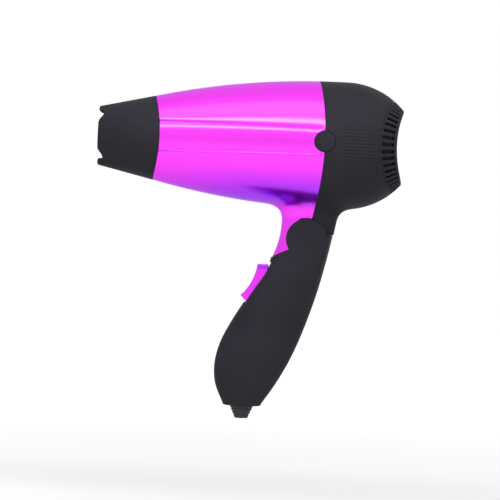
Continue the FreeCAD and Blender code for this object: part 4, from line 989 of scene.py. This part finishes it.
class DRYER_OT_covers(bpy.types.Operator):
    """Metallic front cover and rubber-feel rear cover of the head, with the outlet's spigot"""
    bl_idname = "dryer.covers"
    bl_label = "Head Covers"
    bl_options = {"REGISTER", "UNDO"}

    def execute(self, context):
        piece("front_cover", cover(True, sizes().crease * 1000, 0.0), "head", ["front_shell"],
              pearl("barrel"), wall=COVER_WALL, sharp=24.0)
        piece("outlet_spigot", [spigot()], "head", ["front_shell"],
              pearl("plain"))
        piece("rear_cover", cover(False, 0.0, sizes().ribs * 1000), "head", ["rear_shell"],
              soft_touch(), wall=COVER_WALL)
        for half, front in (("front", True), ("rear", False)):
            piece(f"hinge_knuckle_{half}", [knuckle(front)], "head", [f"{half}_shell"],
                  pearl("plain") if front else soft_touch())
        return {"FINISHED"}


class DRYER_OT_nozzle(bpy.types.Operator):
    """Push-on concentrator nozzle with its notched mouth"""
    bl_idname = "dryer.nozzle"
    bl_label = "Concentrator Nozzle"
    bl_options = {"REGISTER", "UNDO"}

    def execute(self, context):
        piece("concentrator", nozzle_sheets(sizes().panel * 1000), "nozzle", ["nozzle"],
              soft_touch(), wall=1.6)
        return {"FINISHED"}


class DRYER_OT_grille(bpy.types.Operator):
    """Intake cap with ribs along its side and a slotted hollow rear face"""
    bl_idname = "dryer.grille"
    bl_label = "Intake Grille"
    bl_options = {"REGISTER", "UNDO"}

    def execute(self, context):
        piece("intake_grille", grille_sheets(), "head", ["rear_grille"],
              soft_touch(), wall=1.8)
        piece("grille_collar", collar_sheets(), "head", ["rear_grille"],
              soft_touch(), wall=1.4)
        return {"FINISHED"}


class DRYER_OT_caps(bpy.types.Operator):
    """Round caps over the case screws"""
    bl_idname = "dryer.caps"
    bl_label = "Side Caps"
    bl_options = {"REGISTER", "UNDO"}

    def execute(self, context):
        for side, sign in (("left", -1), ("right", 1)):
            piece(f"screw_cap_{side}", cap_sheets(sign), "head", [f"side_cap_{side}"],
                  soft_touch())
        return {"FINISHED"}


class DRYER_OT_handle(bpy.types.Operator):
    """Both halves of the folding handle with the ears of the hinge"""
    bl_idname = "dryer.handle"
    bl_label = "Folding Handle"
    bl_options = {"REGISTER", "UNDO"}

    def execute(self, context):
        for side, sign in (("left", -1), ("right", 1)):
            piece(f"grip_half_{side}", handle_sheets(sign, sign > 0), "handle",
                  [f"handle_{side}"], soft_touch(), wall=2.0)
        return {"FINISHED"}


class DRYER_OT_rocker(bpy.types.Operator):
    """Rocker of the speed switch"""
    bl_idname = "dryer.rocker"
    bl_label = "Switch Rocker"
    bl_options = {"REGISTER", "UNDO"}

    def execute(self, context):
        piece("speed_rocker", rocker_sheets(), "rocker", ["rocker"],
              pearl("rocker"))
        piece("rocker_axle", axle_sheets(), "handle", ["rocker_pin"],
              metal("axle_steel", (0.60, 0.60, 0.62), (0.45, 0.45, 0.48), 0.3))
        return {"FINISHED"}


class DRYER_OT_sleeve(bpy.types.Operator):
    """Tapered sleeve at the cord's exit"""
    bl_idname = "dryer.sleeve"
    bl_label = "Cord Sleeve"
    bl_options = {"REGISTER", "UNDO"}

    def execute(self, context):
        piece("cord_sleeve", gland_sheets(), "handle", ["cord_gland"],
              moulded("sleeve_rubber", (0.020, 0.020, 0.022), (0.027, 0.027, 0.030), 0.66))
        return {"FINISHED"}


class DRYER_OT_inside(bpy.types.Operator):
    """Finishes of the engineering model's own nodes, which show inside"""
    bl_idname = "dryer.inside"
    bl_label = "Inner Finishes"
    bl_options = {"REGISTER", "UNDO"}

    def execute(self, context):
        fan = moulded("fan_nylon", (0.030, 0.031, 0.034), (0.042, 0.043, 0.047), 0.38, 1400.0)
        black = moulded("inner_plastic", (0.018, 0.018, 0.020), (0.028, 0.028, 0.031), 0.5, 1800.0)
        white = moulded("white_nylon", (0.74, 0.73, 0.69), (0.82, 0.81, 0.77), 0.42, 1500.0)
        ferrite = moulded("ferrite", (0.045, 0.043, 0.046), (0.070, 0.067, 0.068), 0.6, 3200.0, 0.4)
        steel = metal("bright_steel", (0.62, 0.62, 0.64), (0.46, 0.46, 0.49), 0.28)
        dull = metal("blackened_steel", (0.16, 0.16, 0.17), (0.10, 0.10, 0.11), 0.36)
        rolled = metal("rolled_steel", (0.55, 0.56, 0.58), (0.40, 0.41, 0.44), 0.34, (0.1, 1, 1))
        copper = metal("enamelled_copper", (0.82, 0.36, 0.17), (0.60, 0.22, 0.09), 0.30, (1, 1, 4))
        nichrome = metal("nichrome_wire", (0.48, 0.44, 0.40), (0.30, 0.26, 0.24), 0.42)
        brass = metal("tinned_brass", (0.78, 0.66, 0.40), (0.58, 0.50, 0.34), 0.30)
        mica = layered("mica_sheet", (0.44, 0.37, 0.27), (0.70, 0.62, 0.48), 0.45)
        board = layered("green_board", (0.015, 0.16, 0.06), (0.03, 0.24, 0.09), 0.40)
        sleeve = moulded("wire_sleeve", (0.50, 0.06, 0.04), (0.62, 0.09, 0.06), 0.40, 1200.0)
        by_node = {
            "inlet_mesh": rolled, "case_screws": steel, "outlet_grille": black, "fan_duct": black,
            "impeller": fan, "motor_can": rolled, "motor_end_cap": white, "motor_magnets": ferrite,
            "motor_bearings": brass, "motor_shaft": steel, "rotor_core": rolled,
            "rotor_windings": copper, "commutator": copper, "motor_screws": steel,
            "rectifier_board": board, "motor_terminals": brass, "rectifier_diodes": black,
            "heat_shield": mica, "mica_board_upright": mica, "mica_board_flat": mica,
            "heating_coil": nichrome, "thermostat": brass, "thermal_fuse": white,
            "handle_screws": dull, "hinge_bush_left": white, "hinge_bush_right": white,
            "hinge_washer_left": steel, "hinge_washer_right": steel,
            "switch_body": black, "switch_terminals": brass, "cord_clamp": black,
            "handle_wires": sleeve, "hinge_wires": sleeve, "head_wires": sleeve,
        }
        shown = {name for name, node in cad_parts.items() if not node.hide_render}
        if shown != set(by_node):
            raise RuntimeError(f"nodes without a finish: {sorted(shown ^ set(by_node))}")
        for name, material in by_node.items():
            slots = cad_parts[name].material_slots
            if not slots:
                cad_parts[name].data.materials.append(material)
            for slot in slots:
                slot.material = material
        return {"FINISHED"}


class DRYER_OT_stage(bpy.types.Operator):
    """Camera, soft lamps, pale floor and white surroundings"""
    bl_idname = "dryer.stage"
    bl_label = "Stage"
    bl_options = {"REGISTER", "UNDO"}

    def execute(self, context):
        scene = bpy.context.scene
        scene.view_settings.view_transform = "Standard"
        camera = bpy.data.objects.new("camera", bpy.data.cameras.new("camera"))
        scene.collection.objects.link(camera)
        distance, half_height, turn = 1.10, 0.150, math.radians(-2.5)
        camera.data.lens = camera.data.sensor_width / 2 * distance / half_height
        camera.data.clip_start, camera.data.clip_end = 0.05, 20.0
        camera.location = (-0.0408, -distance, -0.0648)
        camera.rotation_euler = (math.pi / 2, turn, 0.0)
        scene.camera = camera
        # name, place, aim, width, height, watts
        for name, place, aim, wide, tall, power in (
                ("long_softbox", (-0.08, -0.80, 0.62), (-0.04, 0.0, 0.0), 1.40, 0.13, 8.0),
                ("high_softbox", (-0.05, -0.42, 0.92), (-0.04, 0.0, 0.0), 1.30, 0.50, 3.0),
                ("fill_softbox", (0.75, -0.75, -0.05), (0.0, 0.0, -0.05), 0.70, 0.70, 1.0)):
            lamp = bpy.data.lights.new(name, "AREA")
            lamp.shape, lamp.size, lamp.size_y, lamp.energy = "RECTANGLE", wide, tall, power
            holder = bpy.data.objects.new(name, lamp)
            holder.location = place
            towards = Vector(aim) - Vector(place)
            holder.rotation_euler = towards.to_track_quat("-Z", "Y").to_euler()
            scene.collection.objects.link(holder)
        world = bpy.data.worlds.new("surroundings")
        world.use_nodes = True
        scene.world = world
        tree = world.node_tree
        back = tree.nodes["Background"]
        back.inputs["Color"].default_value = (1, 1, 1, 1)
        seen = looked_at(tree)
        level = tree.nodes.new("ShaderNodeMapRange")
        tree.links.new(seen, level.inputs[0])
        level.inputs[3].default_value, level.inputs[4].default_value = 0.25, 1.0
        tree.links.new(level.outputs[0], back.inputs["Strength"])
        self.floor(scene)
        return {"FINISHED"}

    def floor(self, scene):
        """A pale sheet that curves up far behind: a flat run, a quarter circle, then a wall."""
        level, bend, radius = -0.245, 3.0, 2.0      # height, and where the curve starts
        arc = np.linspace(0.1, 1.57, 12)
        run = np.concatenate((np.linspace(-4.0, bend, 15), bend + radius * np.sin(arc),
                              np.full(4, bend + radius)))
        rise = np.concatenate((np.zeros(15), radius - radius * np.cos(arc),
                               np.linspace(2.4, 5.0, 4))) + level
        across = np.linspace(-6.0, 6.0, 9)
        points = np.stack(np.broadcast_arrays(across[None, :], run[:, None], rise[:, None]), -1)
        corners, cells = patch(points)
        mesh = bpy.data.meshes.new("floor")
        mesh.from_pydata(corners.tolist(), [], cells[:, ::-1].tolist())
        mesh.polygons.foreach_set("use_smooth", np.ones(len(mesh.polygons), bool))
        floor = bpy.data.objects.new("floor", mesh)
        scene.collection.objects.link(floor)
        material, node, into = finish_tree("pale_floor")
        into("Base Color", (0.93, 0.93, 0.93, 1.0))
        into("Roughness", 0.9)
        into("Specular IOR Level", 0.2)
        tree = material.node_tree
        glow = node("ShaderNodeEmission", {"Color": (1, 1, 1, 1)})
        # lifted to white where it is seen, less so by the dryer, so that its shadow shows there
        place = node("ShaderNodeTexCoord").outputs["Object"]
        away = node("ShaderNodeVectorMath", {0: place}, operation="LENGTH").outputs["Value"]
        lift = maths(node, "MULTIPLY", spread(node, away, 0.25, 1.3, 0.38, 0.75, True),
                     looked_at(tree))
        tree.links.new(lift, glow.inputs["Strength"])
        both = node("ShaderNodeAddShader", {0: tree.nodes["Principled BSDF"].outputs[0],
                                            1: glow.outputs[0]})
        tree.links.new(both.outputs[0], tree.nodes["Material Output"].inputs[0])
        mesh.materials.append(material)


class DRYER_PT_panel(bpy.types.Panel):
    """The hair dryer's sizes, colours and pieces"""
    bl_idname = "DRYER_PT_panel"
    bl_label = "Hair Dryer"
    bl_space_type = "VIEW_3D"
    bl_region_type = "UI"
    bl_category = "Hair Dryer"

    def draw(self, context):
        scene = context.scene
        for group in (scene.dryer_sizes, scene.dryer_colours):
            box = self.layout.box()
            for name in group.__annotations__:
                box.prop(group, name)
        for operator in STEPS:
            self.layout.operator(operator.bl_idname)


STEPS = (DRYER_OT_covers, DRYER_OT_nozzle, DRYER_OT_grille, DRYER_OT_caps, DRYER_OT_handle,
         DRYER_OT_rocker, DRYER_OT_sleeve, DRYER_OT_inside, DRYER_OT_stage)
CLASSES = (DryerSizes, DryerColours, *STEPS, DRYER_PT_panel)


def register():
    """Makes the classes known and hangs the sizes and colours on the scene."""
    for kind in CLASSES:
        bpy.utils.register_class(kind)
    bpy.types.Scene.dryer_sizes = bpy.props.PointerProperty(type=DryerSizes)
    bpy.types.Scene.dryer_colours = bpy.props.PointerProperty(type=DryerColours)


def unregister():
    """Takes back what register did."""
    del bpy.types.Scene.dryer_colours
    del bpy.types.Scene.dryer_sizes
    for kind in reversed(CLASSES):
        bpy.utils.unregister_class(kind)


def main():
    """Runs the operators in order."""
    register()
    for step in STEPS:
        group, name = step.bl_idname.split(".")
        getattr(getattr(bpy.ops, group), name)()


if __name__ == "__main__":
    main()
